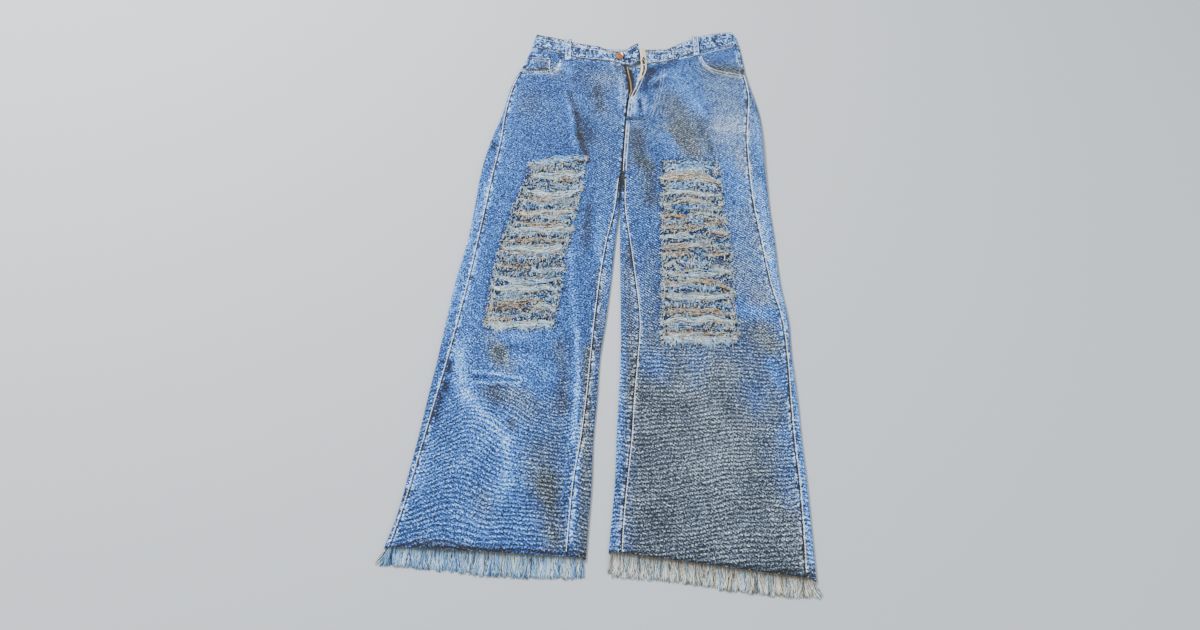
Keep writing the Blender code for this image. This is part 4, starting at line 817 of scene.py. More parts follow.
YARN_COLOURS = {
    "white": ("#E2F8FF", "#F6FFFF", "#CDF0FC"),
    "cream": ("#F2EAD6", "#E2D4B8", "#FAF4E8"),
    "pale": ("#BFE6FC", "#A4D6F8", "#D8F0FC"),
    "sky": ("#6CBCFA", "#48A0F2", "#96D2FE", "#2F84E0"),
    "gold": ("#DAB07A", "#BC9260", "#EACCA0", "#8C6A42"),
    "navy": ("#1C3054", "#2A4672", "#141F38"),
    # near-black colours for yarns that are painted shadow in the slits between ropes
    "shadow_slit": ("#0C121E", "#141C2C", "#2A241C"),
}
YARN_TINTS = {name: [np.array(linear(colour)) for colour in colours]
              for name, colours in YARN_COLOURS.items()}


def loose_yarn():
    """Spun cotton singles, undyed or faded, fuzzy and dull; each strand keeps its own tint."""
    material, tree, shader = new_material("Loose cotton singles", 0.95, Sheen_Weight=0.15,
                                          Sheen_Roughness=0.5)
    tint = add_node(tree, "ShaderNodeAttribute", attribute_name="tint")
    place = add_node(tree, "ShaderNodeTexCoord").outputs["Object"]
    fuzz = add_node(tree, "ShaderNodeTexNoise",
                    {"Vector": place, "Scale": 700.0, "Detail": 1.0})
    fuzz = add_node(tree, MATH, {0: fuzz, 1: 1.3, 2: 0.32}, operation="MULTIPLY_ADD",
                    use_clamp=True)
    colour = add_node(tree, "ShaderNodeMix", {0: 1.0, 6: tint, 7: fuzz}, data_type="RGBA",
                      blend_type="MULTIPLY")
    tree.links.new(colour.outputs[2], shader.inputs["Base Color"])
    return material


YARN = loose_yarn()

for side, side_name in SIDES.items():
    tips = np.array(HEM_TIPS[side]) * MM
    for layer in ("front", "back"):
        draw = random.Random(side_name + layer)
        node = "hem_fringe_" + layer + "_" + side_name
        low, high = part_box(node)
        root_line = border_line([node], 0, np.arange(low.x / MM + 0.5, high.x / MM - 0.5, 3.0), 1)
        paths, radii, tints = [], [], []
        for lock in range(HEM_LOCKS):
            middle = low.x + (high.x - low.x) * (lock + 0.5) / HEM_LOCKS
            lock_sway, lock_reach = draw.gauss(0, 3.2) * MM, draw.uniform(0.80, 1.05)
            lock_light = draw.uniform(0.72, 1.0) * HEM_LIGHT[side]
            lock_turn, lock_rise = draw.uniform(0, math.tau), draw.uniform(0.2, 2.2) * MM
            mix = HEM_MIX[side] if draw.random() < 0.8 else ("white", "white", "pale")
            if side == -1 and middle < -0.2:
                mix = ("sky", "pale", "white", "sky")
            for yarn in range(LOCK_YARNS):
                x = middle + draw.uniform(-0.6, 0.6) * (high.x - low.x) / HEM_LOCKS
                root_y = np.interp(x, root_line[:, 0], root_line[:, 1]) + HEM_ROOT * MM
                root_z = np.interp(x, root_line[:, 0], root_line[:, 2]) + 0.2 * MM
                reach = (root_y - np.interp(x, tips[:, 0], tips[:, 1]))
                reach *= lock_reach * draw.choice((0.6, 0.85, 0.95, 1.0, 1.04))
                corner = min(abs(x - low.x), abs(high.x - x)) / MM
                outward = -1 if x < (low.x + high.x) / 2 else 1
                fan = HEM_FAN if outward == side else 2.0
                sway = lock_sway + draw.gauss(0, 1.6) * MM
                sway += outward * fan * MM * max(0.0, 1 - corner / 24) ** 2 * draw.uniform(0.2, 1)
                curl, turn = draw.uniform(0.5, 1.7) * MM, draw.uniform(0, math.tau)
                path = []
                for k in range(HEM_POINTS):
                    share = k / (HEM_POINTS - 1)
                    drop = root_z * (1 - 0.75 * share ** 1.3)
                    drop += lock_rise * math.sin(share * math.pi) + draw.uniform(0, 0.4) * MM
                    wave = curl * math.sin(turn + 13 * share) + 1.2 * MM * math.sin(
                        lock_turn + 6 * share)
                    path.append((x + sway * share ** 1.3 + wave * share,
                                 root_y - reach * share, max(drop, 0.0008)))
                paths.append(path)
                thick = HEM_RADIUS * MM * draw.uniform(0.8, 1.2)
                # painted shade: some yarns are dimmed almost to black, for the gaps between the
                # locks
                shade = lock_light * draw.choice((0.08, 0.3, 0.9, 1.0, 1.0))
                radii.append([thick] * (HEM_POINTS - 1) + [thick * 0.5])
                tone = draw.choice(YARN_TINTS[draw.choice(mix)])
                # painted shade: each yarn darkens towards its root, under the cut edge; the two
                # root points also take a brown tint
                light = [min(1.0, shade * (0.10 + 1.7 * k / (HEM_POINTS - 1)) + 0.02)
                         for k in range(HEM_POINTS)]
                tints.append([(tone * light[k] * (ROOT_BROWN if k < 2 else 1.0)).tolist()
                              for k in range(HEM_POINTS)])
        fringe = strand_mesh("hem_yarns_" + layer + "_" + side_name, paths, radii, YARN,
                             tints)
        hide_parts(node)

# Rips
# Each thigh is slashed many times across: the white weft is left as ropes of loose yarn, some
# stained gold, over strips of frayed twill whose faded blue warp stands up in short ends.
RIGHT_ROPES = (
    # y at its ends, x from, to, sag, width, yarns, colour
    (221, 232, -126, -22, -5, 12, 56, "sky"), (213, 214, -119, -92, 0, 4, 12, "white"),
    (197, 201, -121, -27, 4, 11, 60, "white"), (181, 186, -86, -40, 0, 8, 30, "gold"),
    (171, 173, -112, -30, 3, 12, 20, "sky"), (162, 165, -133, -31, 9, 11, 54, "white"),
    (154, 150, -128, -60, 5, 5, 20, "gold"), (143, 146, -138, -80, 3, 7, 20, "cream"),
    (131, 131, -136, -80, 0, 9, 16, "sky"), (144, 147, -84, -36, 5, 4, 14, "white"),
    (125, 126, -80, -40, 2, 5, 12, "white"), (113, 117, -144, -46, 4, 10, 46, "cream"),
    (104, 106, -102, -42, 1, 9, 16, "sky"), (91, 89, -148, -58, 4, 9, 38, "gold"),
    (78, 80, -157, -46, 2, 12, 60, "white"), (67, 70, -102, -56, 2, 7, 12, "sky"),
    (68, 68, -154, -104, 1, 7, 14, "sky"), (53, 55, -161, -52, 1, 8, 36, "gold"),
    (38, 41, -166, -58, 4, 12, 58, "white"), (24, 25, -165, -62, 2, 11, 18, "sky"),
    (29, 31, -170, -110, 1, 5, 16, "cream"), (4, 1, -174, -112, 2, 8, 32, "gold"),
    (-6, -4, -114, -62, 4, 9, 30, "pale"), (-20, -22, -176, -66, 6, 9, 44, "pale"),
    (-40, -41, -180, -66, 2, 11, 56, "white"), (-57, -58, -178, -70, 2, 12, 20, "sky"),
    (-66, -66, -180, -100, 1, 5, 16, "cream"), (-79, -80, -182, -104, 0, 7, 28, "gold"),
    (-78, -79, -108, -70, 1, 9, 34, "white"), (-94, -95, -180, -112, 1, 9, 16, "sky"),
    (-103, -103, -188, -148, 0, 6, 24, "cream"), (-112, -109, -186, -74, 3, 11, 58, "white"),
)
LEFT_ROPES = (
    (211, 211, 122, 212, -9, 13, 54, "sky"), (189, 181, 110, 216, -8, 12, 62, "cream"),
    (172, 174, 124, 208, -2, 14, 22, "sky"), (153, 150, 112, 218, -6, 8, 46, "white"),
    (135, 133, 112, 218, -3, 8, 22, "cream"), (124, 124, 122, 214, -3, 12, 22, "sky"),
    (106, 104, 110, 162, 2, 9, 38, "gold"), (108, 104, 160, 220, -2, 6, 20, "white"),
    (96, 97, 120, 186, 1, 10, 16, "sky"), (91, 93, 184, 222, 0, 8, 26, "gold"),
    (81, 83, 111, 180, 2, 9, 36, "gold"), (77, 77, 192, 216, 0, 9, 10, "sky"),
    (67, 67, 180, 224, -3, 8, 26, "gold"), (61, 62, 110, 166, -2, 9, 40, "white"),
    (50, 44, 160, 222, 4, 5, 14, "white"), (42, 46, 110, 172, 2, 8, 30, "cream"),
    (27, 29, 109, 156, 2, 8, 30, "gold"), (24, 26, 190, 226, -2, 7, 22, "cream"),
    (12, 8, 138, 182, 1, 12, 16, "sky"), (10, -2, 108, 140, 0, 9, 26, "white"),
    (-11, -10, 108, 225, 5, 9, 44, "white"), (-17, -16, 112, 200, 1, 6, 16, "pale"),
    (-32, -30, 136, 208, -2, 8, 36, "gold"), (-31, -52, 196, 226, 0, 7, 26, "gold"),
    (-34, -34, 107, 142, 0, 8, 28, "cream"), (-42, -40, 112, 196, 0, 9, 16, "sky"),
    (-58, -58, 106, 225, 3, 11, 58, "white"), (-74, -75, 112, 218, -2, 9, 18, "sky"),
    (-90, -93, 105, 224, -4, 8, 40, "gold"), (-107, -107, 104, 226, -3, 9, 50, "white"),
    (-117, -116, 114, 220, 0, 9, 18, "sky"), (-129, -131, 104, 226, 2, 8, 36, "gold"),
    (-137, -138, 103, 227, 3, 10, 56, "white"),
)
ROPES = {-1: RIGHT_ROPES, 1: LEFT_ROPES}
ROPE_POINTS = 20
ROPE_RADIUS = 0.54
TUFT_YARNS = 14
STUB_POINTS = 4
LOOSE_BITS = 3600       # crimped ends of weft that lie about each ripped field
ROPE_STAINS = {
    # the tints that a yarn of each rope takes in turn along its length
    "white": ("white", "white", "white", "pale", "pale", "cream"),
    "cream": ("cream", "white", "gold", "cream", "gold"), "pale": ("pale", "white", "sky", "cream"),
    "sky": ("sky", "pale", "navy", "sky"),
    "gold": ("gold", "gold", "cream", "white", "gold", "navy"),
}
WARP_FRAY = {
    # rows of loose warp ends: y at left and right, x from, to, mean length, count
    -1: ((226, 236, -116, -32, 10, 200), (-113, -110, -176, -82, 15, 330)),
    1: ((212, 214, 128, 206, 11, 220), (-137, -142, 110, 218, 17, 360)),
}


def height_beside(tree, x, y):
    """Height of the cloth's nearest face, also over a rip, metres."""
    return tree.find_nearest(Vector((x, y, 0.012)))[0].z


for side, side_name in SIDES.items():
    draw = random.Random("rips " + side_name)
    tree = tree_of(fronts[side])
    paths, radii, tints = [], [], []
    stubs, stub_tints = [], []
    for y_left, y_right, left, right, sag, width, yarns, colour in ROPES[side]:
        span = (right - left) * MM
        shares = np.linspace(0, 1, ROPE_POINTS)
        base_x = left * MM + span * shares
        base_y = (y_left + (y_right - y_left) * shares - sag * np.sin(np.pi * shares)) * MM
        base_y += draw.gauss(0, 2.2) * MM * np.sin(7 * shares + draw.uniform(0, 6))
        base_y += draw.gauss(0, 1.0) * MM * np.sin(15 * shares + draw.uniform(0, 6))
        base_z = np.array([height_beside(tree, x, y) for x, y in zip(base_x, base_y)])
        knot_left, knot_right = draw.uniform(0.02, 0.10), draw.uniform(0.90, 0.98)
        twist = draw.uniform(5, 9) if colour == "gold" else draw.uniform(0.5, 2)
        for _ in range(int(yarns * 0.6)):
            lane, turn = draw.uniform(-0.5, 0.5), draw.uniform(0, math.tau)
            start = draw.uniform(-0.02, 0.06) if draw.random() < 0.8 else draw.uniform(0, 0.6)
            end = draw.uniform(0.94, 1.02) if draw.random() < 0.8 else draw.uniform(0.4, 1)
            droop = sag * draw.uniform(-0.5, 0.9) + draw.gauss(0, 1.8)
            level = draw.uniform(0.3, 2.8) * MM
            curl, crimp = draw.uniform(0.2, 1.1) * MM, draw.uniform(14, 44)
            flare_left, flare_right = draw.gauss(0, 5.0) * MM, draw.gauss(0, 5.0) * MM
            path = []
            for share in shares:
                at = start + (end - start) * share
                held = min(max(at, 0.0), 1.0)
                x = np.interp(held, shares, base_x) + (at - held) * span
                y = np.interp(held, shares, base_y)
                z = np.interp(held, shares, base_z)
                open_up = 1 - 0.8 * math.exp(-((at - knot_left) / 0.07) ** 2)
                open_up -= 0.8 * math.exp(-((at - knot_right) / 0.07) ** 2)
                y += lane * width * MM * open_up - droop * MM * math.sin(math.pi * held)
                y += width * 0.22 * MM * math.sin(turn + twist * math.tau * at) * open_up
                y += curl * math.sin(turn + crimp * share)
                y += flare_left * max(0.0, 0.03 - at) * 12 + flare_right * max(0.0, at - 0.97) * 12
                z += level * (0.5 + 0.5 * open_up)
                z += 0.5 * curl * math.cos(turn + crimp * share)
                path.append((x, y, z))
            paths.append(path)
            radii.append([ROPE_RADIUS * MM * draw.uniform(0.85, 1.2)] * ROPE_POINTS)
            # painted shade: yarns that lie lower in the rope are darker, and points along each yarn
            # are dimmed at random for the shade between the yarns
            depth_shade = min(1.0, 0.3 + 0.5 * level / MM)
            stains = ROPE_STAINS[colour]
            tone, path_tints = draw.choice(YARN_TINTS[draw.choice(stains)]), []
            for _ in shares:
                if draw.random() < 0.3:
                    tone = draw.choice(YARN_TINTS[draw.choice(stains)])
                path_tints.append(tone * depth_shade * draw.choice((0.35, 0.8, 1.0, 1.0, 1.0)))
            tints.append(path_tints)
        # Near-black yarns along the rope, painted shadow for the thin slits between ropes, and
        # gold-stained single yarns, over parts of its length
        for number in range(int(4 + span / (22 * MM))):
            begin, lane = draw.uniform(0, 0.8), draw.choice((-0.55, -0.4, 0.1, 0.45))
            until = min(1.0, begin + draw.uniform(12, 34) * MM / span)
            at = np.linspace(begin, until, ROPE_POINTS)
            along_y = np.interp(at, shares, base_y) + lane * width * MM
            along_y += 0.5 * MM * np.sin(31 * at + number)
            paths.append(np.stack([np.interp(at, shares, base_x), along_y,
                                   np.interp(at, shares, base_z) + 2.6 * MM], axis=1))
            thin = ROPE_RADIUS * MM * draw.uniform(0.8, 1.3)
            radii.append([0.2 * thin] + [thin] * (ROPE_POINTS - 2) + [0.2 * thin])
            tone = draw.choice(YARN_TINTS["shadow_slit" if draw.random() < 0.6 else "gold"])
            tints.append([tone] * ROPE_POINTS)
        # Curly tufts where the rope leaves the cloth at both sides
        field = ladder_sides(side, (y_left + y_right) / 2)
        for edge, way, row_y in ((left, -1, y_left), (right, 1, y_right)):
            at_side = abs(edge - field[(way + 1) // 2]) < 13
            for _ in range(TUFT_YARNS if at_side else 3):
                x = (edge - way * draw.uniform(0, 7)) * MM
                y = (row_y + draw.uniform(-4, 4)) * MM
                reach, aim = draw.uniform(3, 9) * MM, draw.gauss(-0.15, 0.7)
                step_x, step_y = way * reach * math.cos(aim), reach * math.sin(aim)
                curl, z = draw.gauss(0, 1.6) * MM, height_beside(tree, x, y)
                rise = draw.uniform(1.2, 3.4) * MM
                stubs.append([(x, y, z + 0.0004),
                              (x + step_x * 0.35, y + step_y * 0.3 + curl, z + rise),
                              (x + step_x * 0.7, y + step_y * 0.75 - curl * 0.4, z + rise),
                              (x + step_x, y + step_y + curl * 0.5, z + rise * 0.5)])
                # the navy yarns among the tufts are painted shade between them
                stub_tints.append(draw.uniform(0.6, 1.0) * draw.choice(YARN_TINTS[draw.choice(
                    ("white", "cream", "white", "gold", "pale", "navy", "pale"))]))
        # Short faded warp ends that stand across the blue strips
        if colour in ("sky", "pale"):
            for _ in range(int(width * 16)):
                share = draw.random()
                x = left * MM + span * share
                y = np.interp(share, shares, base_y) + draw.uniform(-0.6, 0.6) * width * MM
                z = height_beside(tree, x, y)
                reach, bend = draw.uniform(1.5, 4.5) * MM, draw.gauss(0, 1.8) * MM
                rise = draw.uniform(1.2, 3.0) * MM
                stubs.append([(x, y + reach / 2, z + 0.0005),
                              (x + bend, y + reach / 5, z + rise), (x, y - reach / 4, z + rise),
                              (x - bend / 2, y - reach / 2, z + 0.0008)])
                stub_tints.append(draw.choice(YARN_TINTS[draw.choice(
                    ("sky", "sky", "pale", "white", "navy", "navy"))]))
    ropes = strand_mesh("rip_weft_" + side_name, paths, radii, YARN, tints)
    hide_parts("rip_yarns_" + side_name)
    for y_left, y_right, x_from, x_to, length, count in WARP_FRAY[side]:
        for _ in range(count):
            share = draw.random()
            x = (x_from + (x_to - x_from) * share) * MM
            y = (y_left + (y_right - y_left) * share + draw.uniform(-4, 4)) * MM
            z, bend = height_beside(tree, x, y), draw.gauss(0, 3.4) * MM
            reach = length * draw.uniform(0.3, 1.0) * (0.8 + 0.3 * math.sin(share * 13)) * MM
            rise = draw.uniform(0.8, 3.0) * MM
            stubs.append([(x, y, z + 0.0004), (x - bend * 0.4, y - reach * 0.35, z + rise),
                          (x + bend * 0.9, y - reach * 0.7, z + rise * 0.8),
                          (x + bend * 0.5, y - reach, z + 0.0006)])
            stub_tints.append(draw.uniform(0.75, 1.0) * draw.choice(YARN_TINTS[draw.choice(
                ("sky", "sky", "pale", "white", "white", "white", "navy"))]))
    for _ in range(LOOSE_BITS):
        y = draw.uniform(LADDERS[side][-1][0], LADDERS[side][0][0] - 6)
        left, right = ladder_sides(side, y)
        x, y = draw.uniform(left - 4, right + 3) * MM, y * MM
        z, rise = height_beside(tree, x, y), draw.uniform(0.8, 3.6) * MM
        aim, reach = draw.gauss(0, 0.8), draw.uniform(1.8, 5.0) * MM
        step_x, step_y = reach * math.cos(aim), reach * math.sin(aim)
        curl = draw.gauss(0, 1.5) * MM
        stubs.append([(x, y, z + 0.0004), (x + step_x * 0.3, y + step_y * 0.3 + curl, z + rise),
                      (x + step_x * 0.7, y + step_y * 0.7 - curl, z + rise),
                      (x + step_x, y + step_y, z + 0.0006)])
        stub_tints.append(draw.uniform(0.65, 1.0) * draw.choice(YARN_TINTS[draw.choice(
            ("white", "white", "pale", "pale", "sky", "white", "cream", "gold", "navy"))]))
    thick = [[ROPE_RADIUS * MM * draw.uniform(0.95, 1.45)] * STUB_POINTS for _ in stubs]
    strand_mesh("rip_warp_" + side_name, stubs, thick, YARN, stub_tints)

# Topstitching
# Off-white core-spun thread, six stitches to the inch: one row beside each outseam and inseam,
# two at the pockets, yokes and fly, and one along each edge of the band and of the loops.
STITCH, STITCH_GAP = 3.6, 0.7
THREAD = 0.46
SEAM_THREAD = 0.72      # the rows along the legs are of two needles, which read as one cord
MOUTH_ROWS = (1.8, 8.0)
OUTSEAM_FOOT, OUTSEAM_HEAD = {-1: -478, 1: -522}, 446
INSEAM_FOOT, INSEAM_HEAD = {-1: -492, 1: -488}, 196
MOUTH_SPAN = {-1: (-149, -76), 1: (201, 278)}


def stitch_thread():
    """Polyester thread wrapped in cotton, off-white, slightly shiny."""
    material, tree, shader = new_material("Core-spun topstitch thread", 0.6)
    tint = add_node(tree, "ShaderNodeAttribute", attribute_name="tint")
    tree.links.new(tint.outputs["Color"], shader.inputs["Base Color"])
    return material


STITCH_THREAD = stitch_thread()
WHITE_THREAD = [linear(colour) for colour in ("#FFFFFF", "#F4F4EC", "#FFFFFA")]
FADED_THREAD = [linear(colour) for colour in ("#A8BEDC", "#C4D2E4", "#8CA8D0")]
CREAM_THREAD = [linear(colour) for colour in ("#F0DEB8", "#D8BC88", "#FAEED4", "#C49C60")]


def offset_line(line, by):
    """A line moved sideways in plan by so many millimetres, to the left of its run if above 0."""
    run = np.gradient(line[:, :2], axis=0)
    run /= np.maximum(np.linalg.norm(run, axis=1, keepdims=True), 1e-9)
    moved = line.copy()
    moved[:, 0] -= run[:, 1] * by * MM
    moved[:, 1] += run[:, 0] * by * MM
    return moved


def plan_line(*places):
    """A line through some x, y in millimetres, level until it is laid on the cloth."""
    return np.array([(x * MM, y * MM, 0.012) for x, y in places])


def stitch_row(name, line, tree, colours=WHITE_THREAD, thread=THREAD, under=False):
    """A row of stitches along a line, lying on the cloth of a search tree."""
    steps = np.linalg.norm(np.diff(line[:, :2], axis=0), axis=1)
    travel = np.concatenate([[0], np.cumsum(steps)])
    pitch = (STITCH + STITCH_GAP) * MM
    draw = random.Random(name)
    paths, radii, tints = [], [], []
    down, sink = (1.0, 0.65) if under else (-1.0, 0.0)      # the floor is close below the seat
    for number in range(int(travel[-1] / pitch)):
        path = []
        for share, lift in ((0, -0.1), (0.5, 0.5), (1, -0.1)):
            at = number * pitch + (STITCH_GAP / 2 + STITCH * share) * MM
            x, y = np.interp(at, travel, line[:, 0]), np.interp(at, travel, line[:, 1])
            start = Vector((x, y, -0.01 if under else 0.1))
            hit = tree.ray_cast(start, Vector((0, 0, down)))[0]
            z = np.interp(at, travel, line[:, 2]) if hit is None else hit.z
            path.append((x, y, z - down * (lift - sink) * MM))
        paths.append(path)
        radii.append([thread * 0.75 * MM, thread * MM, thread * 0.75 * MM])
        tints.append(draw.choice(colours))
    return strand_mesh(name, paths, radii, STITCH_THREAD, tints, sides=4)


top_tree = tree_of(*fronts.values(), *backs.values(), *facings.values(), coin_pocket,
                   waistband, turned, shield, *front_loops.values())
for side, side_name in SIDES.items():
    front = "front_" + side_name
    outseam = border_line([front], 1, np.arange(OUTSEAM_FOOT[side], OUTSEAM_HEAD, 5.0), side)
    stitch_row("stitches_outseam_" + side_name, offset_line(outseam, -side * 2.0), top_tree,
               thread=SEAM_THREAD)
    inseam = border_line([front], 1, np.arange(INSEAM_FOOT[side], INSEAM_HEAD, 5.0), -side)
    stitch_row("stitches_inseam_" + side_name, offset_line(inseam, -side * 2.0), top_tree,
               thread=SEAM_THREAD)
    mouth = border_line([front], 0, np.arange(*MOUTH_SPAN[side], 3.0), 1)
    for number, inward in enumerate(MOUTH_ROWS):
        stitch_row("stitches_mouth_" + side_name + "_" + str(number),
                   offset_line(mouth, -inward), top_tree,
                   (WHITE_THREAD, FADED_THREAD)[number], (0.6, THREAD)[number])

waist_seam = border_line(["waistband"], 0, np.arange(-124, 266, 4.0), -1)
stitch_row("stitches_band_foot", offset_line(waist_seam, 2.4), top_tree, thread=0.55)
band_top = border_line(["waistband"], 0, np.arange(150, 262, 4.0), 1)
stitch_row("stitches_band_top_left", offset_line(band_top, -2.6), top_tree, thread=0.55)
for name, places, colours, thread in (
        ("stitches_band_top_right", (
            (-121, 538), (-103, 532.5), (-75, 524.5), (-48, 516), (0, 505), (38, 495), (50, 500),
            (72, 513), (81, 501), (82, 476)), WHITE_THREAD, 0.55),
        ("chain_stitches_back", ((84, 501.5), (119, 500.5), (158, 500.5), (186, 502)),
         CREAM_THREAD, 0.8),
        ("chain_stitches_dip", ((4, 504.5), (22, 503), (44, 502.5)), CREAM_THREAD, 0.7),
        ("stitches_band_left_row", ((96, 480), (112, 478.5), (132, 479)), WHITE_THREAD, 0.6),
        ("stitches_coin_side", ((-96, 450), (-96.5, 468), (-97, 483)), WHITE_THREAD, 0.55),
        ("stitches_coin_mouth", ((-131, 487), (-114, 485), (-97, 482)), WHITE_THREAD, THREAD),
        ("stitches_coin_mouth_low", ((-131, 481), (-114, 479), (-97, 476)), WHITE_THREAD, THREAD),
        ("stitches_turned_left", ((82.4, 500), (82.4, 450), (78, 434)), WHITE_THREAD, 0.6),
        ("stitches_turned_right", ((91, 498), (91.4, 452), (87, 438)), WHITE_THREAD, 0.5)):
    stitch_row(name, plan_line(*places), top_tree, colours, thread)
for number, inward in enumerate((2.0, 7.5)):
    stitch_row("stitches_fly_left_" + str(number), offset_line(plan_line(
        (83, 460), (79, 437), (67, 404), (55, 374), (51, 332)), inward), top_tree,
        thread=0.85 - 0.05 * inward)
    stitch_row("stitches_fly_curve_" + str(number), offset_line(plan_line(
        (121, 455), (116, 411), (108, 376), (93, 336), (78, 326), (58, 322)), inward - 2.0),
        top_tree, FADED_THREAD, 0.36)
stitch_row("stitches_fly_right", offset_line(plan_line(
    (46, 452), (49, 430), (53, 404), (55, 372), (49, 336)), -4.0), top_tree, FADED_THREAD)
rise = border_line(["front_left"], 1, np.arange(206, 326, 5.0), -1)
for number, inward in enumerate((-2.2, -7.0)):
    stitch_row("stitches_rise_" + str(number), offset_line(rise, inward), top_tree, thread=0.7)
for side, loop in front_loops.items():
    low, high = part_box("belt_loop_front_" + SIDES[side])
    foot, head = low.y / MM + 2.5, high.y / MM - 3.0
    for edge, x in (("left", low.x / MM + 2.4), ("right", high.x / MM - 2.4)):
        stitch_row("stitches_loop_" + SIDES[side] + "_" + edge,
                   plan_line((x, foot + 3), (x, head)), top_tree, thread=0.6)
    for number in range(3):
        y = foot + 1.4 * number
        stitch_row("tack_" + SIDES[side] + "_" + str(number),
                   plan_line((low.x / MM + 1, y), (high.x / MM - 1, y)), top_tree, thread=0.6)

# Buttonhole
# A buttonhole in the turned-out facing, whipped all round in cream thread; near-black strands lie
# across its opening as painted shade, and a brown line runs down from its foot.
HOLE_PLACE, HOLE_TURN = (86.6, 474.0), math.radians(91)
HOLE_LENGTH, HOLE_WIDTH, WHIP_STITCHES = 20.0, 6.0, 44
HOLE_FILL = 11
facing_tree = tree_of(turned)
hole_run = np.array((math.cos(HOLE_TURN), math.sin(HOLE_TURN)))
hole_side = np.array((-hole_run[1], hole_run[0]))


def on_facing(along, across, lift):
    """A place in the hole's own directions, millimetres, laid on the facing, in metres."""
    x, y = (np.array(HOLE_PLACE) + along * hole_run + across * hole_side) * MM
    return x, y, height_over(facing_tree, x, y, 0.011) + lift * MM


draw = random.Random("buttonhole")
paths, tints = [], []
for number in range(WHIP_STITCHES):
    turn = number / WHIP_STITCHES * math.tau
    paths.append([on_facing(math.cos(turn) * (HOLE_LENGTH / 2 + reach),
                            math.sin(turn) * (HOLE_WIDTH / 2 + reach), 0.3)
                  for reach in (0.0, 0.7, 1.4)])
    tints.append(draw.choice(CREAM_THREAD))
# painted shade: near-black strands laid side by side across the opening
for number in range(HOLE_FILL):
    across = (number + 0.5) / HOLE_FILL - 0.5
    half = HOLE_LENGTH / 2 * math.sqrt(1 - 4 * across ** 2)
    paths.append([on_facing(share * half, across * HOLE_WIDTH, 0.05) for share in (-1, 0, 1)])
    tints.append(linear(draw.choice(("#0E0A08", "#1C140E"))))
for across in (-1.6, -0.8, 0.0, 0.8, 1.6):
    for start, foot in ((-11, -25), (-25, -38)):
        paths.append([on_facing(along, across + 0.35 * max(0, -25 - along), 0.0)
                      for along in (start, (start + foot) / 2, foot)])
        tints.append(linear("#4A3A28"))
strand_mesh("buttonhole_whipping", paths, np.full((len(paths), 3), 0.42 * MM), STITCH_THREAD,
            tints, sides=4)

# Underside stitching
# Two rows round each back pocket, two above each yoke seam, one along the back band's foot and
# two beside the seat seam.
UNDER_THREAD = 0.4       # thin, because the floor is close below
under_tree = tree_of(*backs.values(), *under_pieces.values(), waistband)
for side, side_name in SIDES.items():
    pocket, yoke = "back_pocket_" + side_name, "yoke_" + side_name
    low, high = (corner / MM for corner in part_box(pocket))
    for number, inward in enumerate((2.0, 7.0)):
        for edge, axis, end, from_at, to_at in (
                ("foot", 0, -1, low.x + 8, high.x - 8), ("mouth", 0, 1, low.x + 4, high.x - 4),
                ("inner", 1, -side, low.y + 22, high.y - 8),
                ("outer", 1, side, low.y + 22, high.y - 8)):
            line = border_line([pocket], axis, np.arange(from_at, to_at, 4.0), end)
            stitch_row("_".join(("stitches", pocket, edge, str(number))),
                       offset_line(line, inward * (end if axis else -end)), under_tree,
                       thread=UNDER_THREAD, under=True)
    low, high = (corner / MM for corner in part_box(yoke))
    for edge, end, inward in (("foot", -1, 2.0), ("foot_two", -1, 7.0), ("head", 1, 2.5)):
        line = border_line([yoke], 0, np.arange(low.x + 4, high.x - 4, 5.0), end)
        stitch_row("stitches_yoke_" + side_name + "_" + edge, offset_line(line, inward),
                   under_tree, thread=UNDER_THREAD, under=True)
seat = border_line(["back_left"], 1, np.arange(230, 425, 5.0), -1)
for number, inward in enumerate((-2.0, -7.0)):
    stitch_row("stitches_seat_" + str(number), offset_line(seat, inward), under_tree,
               thread=UNDER_THREAD, under=True)

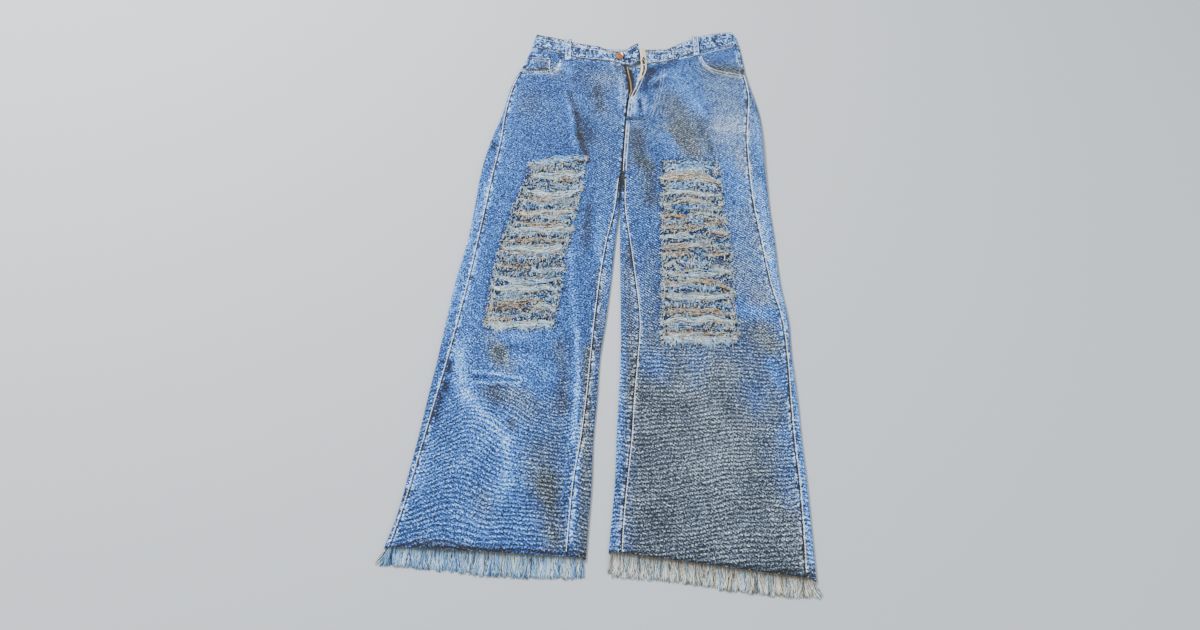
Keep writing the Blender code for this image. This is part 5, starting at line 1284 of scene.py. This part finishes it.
# Floor, lamps and camera
# A plain pale studio floor, one large soft lamp high on the left, and the camera over the hems
# looking down at the angle of the photograph.
FLOOR_HALF = 6.0
FLOOR_DROP = 0.0004
CAMERA_PLACE = (0.0015, -0.9032, 1.401)
CAMERA_TILT = 30.1
CAMERA_LENS, CAMERA_SENSOR = 29.19, 36.0
floor_mesh = bmesh.new()
bmesh.ops.create_grid(floor_mesh, x_segments=1, y_segments=1, size=FLOOR_HALF)
bmesh.ops.translate(floor_mesh, vec=(0, 0, -FLOOR_DROP), verts=floor_mesh.verts)
mesh = bpy.data.meshes.new("studio_floor")
floor_mesh.to_mesh(mesh)
floor_mesh.free()
floor_material, _, floor_shader = new_material("Matt pale vinyl", 0.9)
floor_shader.inputs["Base Color"].default_value = linear("#B8BCC0")
mesh.materials.append(floor_material)
floor = bpy.data.objects.new("studio_floor", mesh)
bpy.context.scene.collection.objects.link(floor)
floor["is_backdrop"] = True

world = bpy.data.worlds.new("Studio")
world.use_nodes = True
world.node_tree.nodes["Background"].inputs["Color"].default_value = linear("#E8EEF6")
world.node_tree.nodes["Background"].inputs["Strength"].default_value = 0.9
bpy.context.scene.world = world
# Lamps: name, place in metres, watts, width in metres
for name, place, power, size in (("key_lamp", (-1.5, 1.3, 2.2), 150.0, 0.7),
                                 ("fill_lamp", (1.8, -1.0, 2.0), 24.0, 1.8)):
    data = bpy.data.lights.new(name, "AREA")
    data.energy, data.size = power, size
    lamp = bpy.data.objects.new(name, data)
    lamp.location = place
    lamp.rotation_euler = (-Vector(place)).to_track_quat("-Z", "Y").to_euler()
    bpy.context.scene.collection.objects.link(lamp)

camera_data = bpy.data.cameras.new("camera")
camera_data.lens, camera_data.sensor_width = CAMERA_LENS, CAMERA_SENSOR
camera = bpy.data.objects.new("camera", camera_data)
camera.location = CAMERA_PLACE
camera.rotation_euler = (math.radians(CAMERA_TILT), 0.0, 0.0)
bpy.context.scene.collection.objects.link(camera)
bpy.context.scene.camera = camera

low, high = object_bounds()
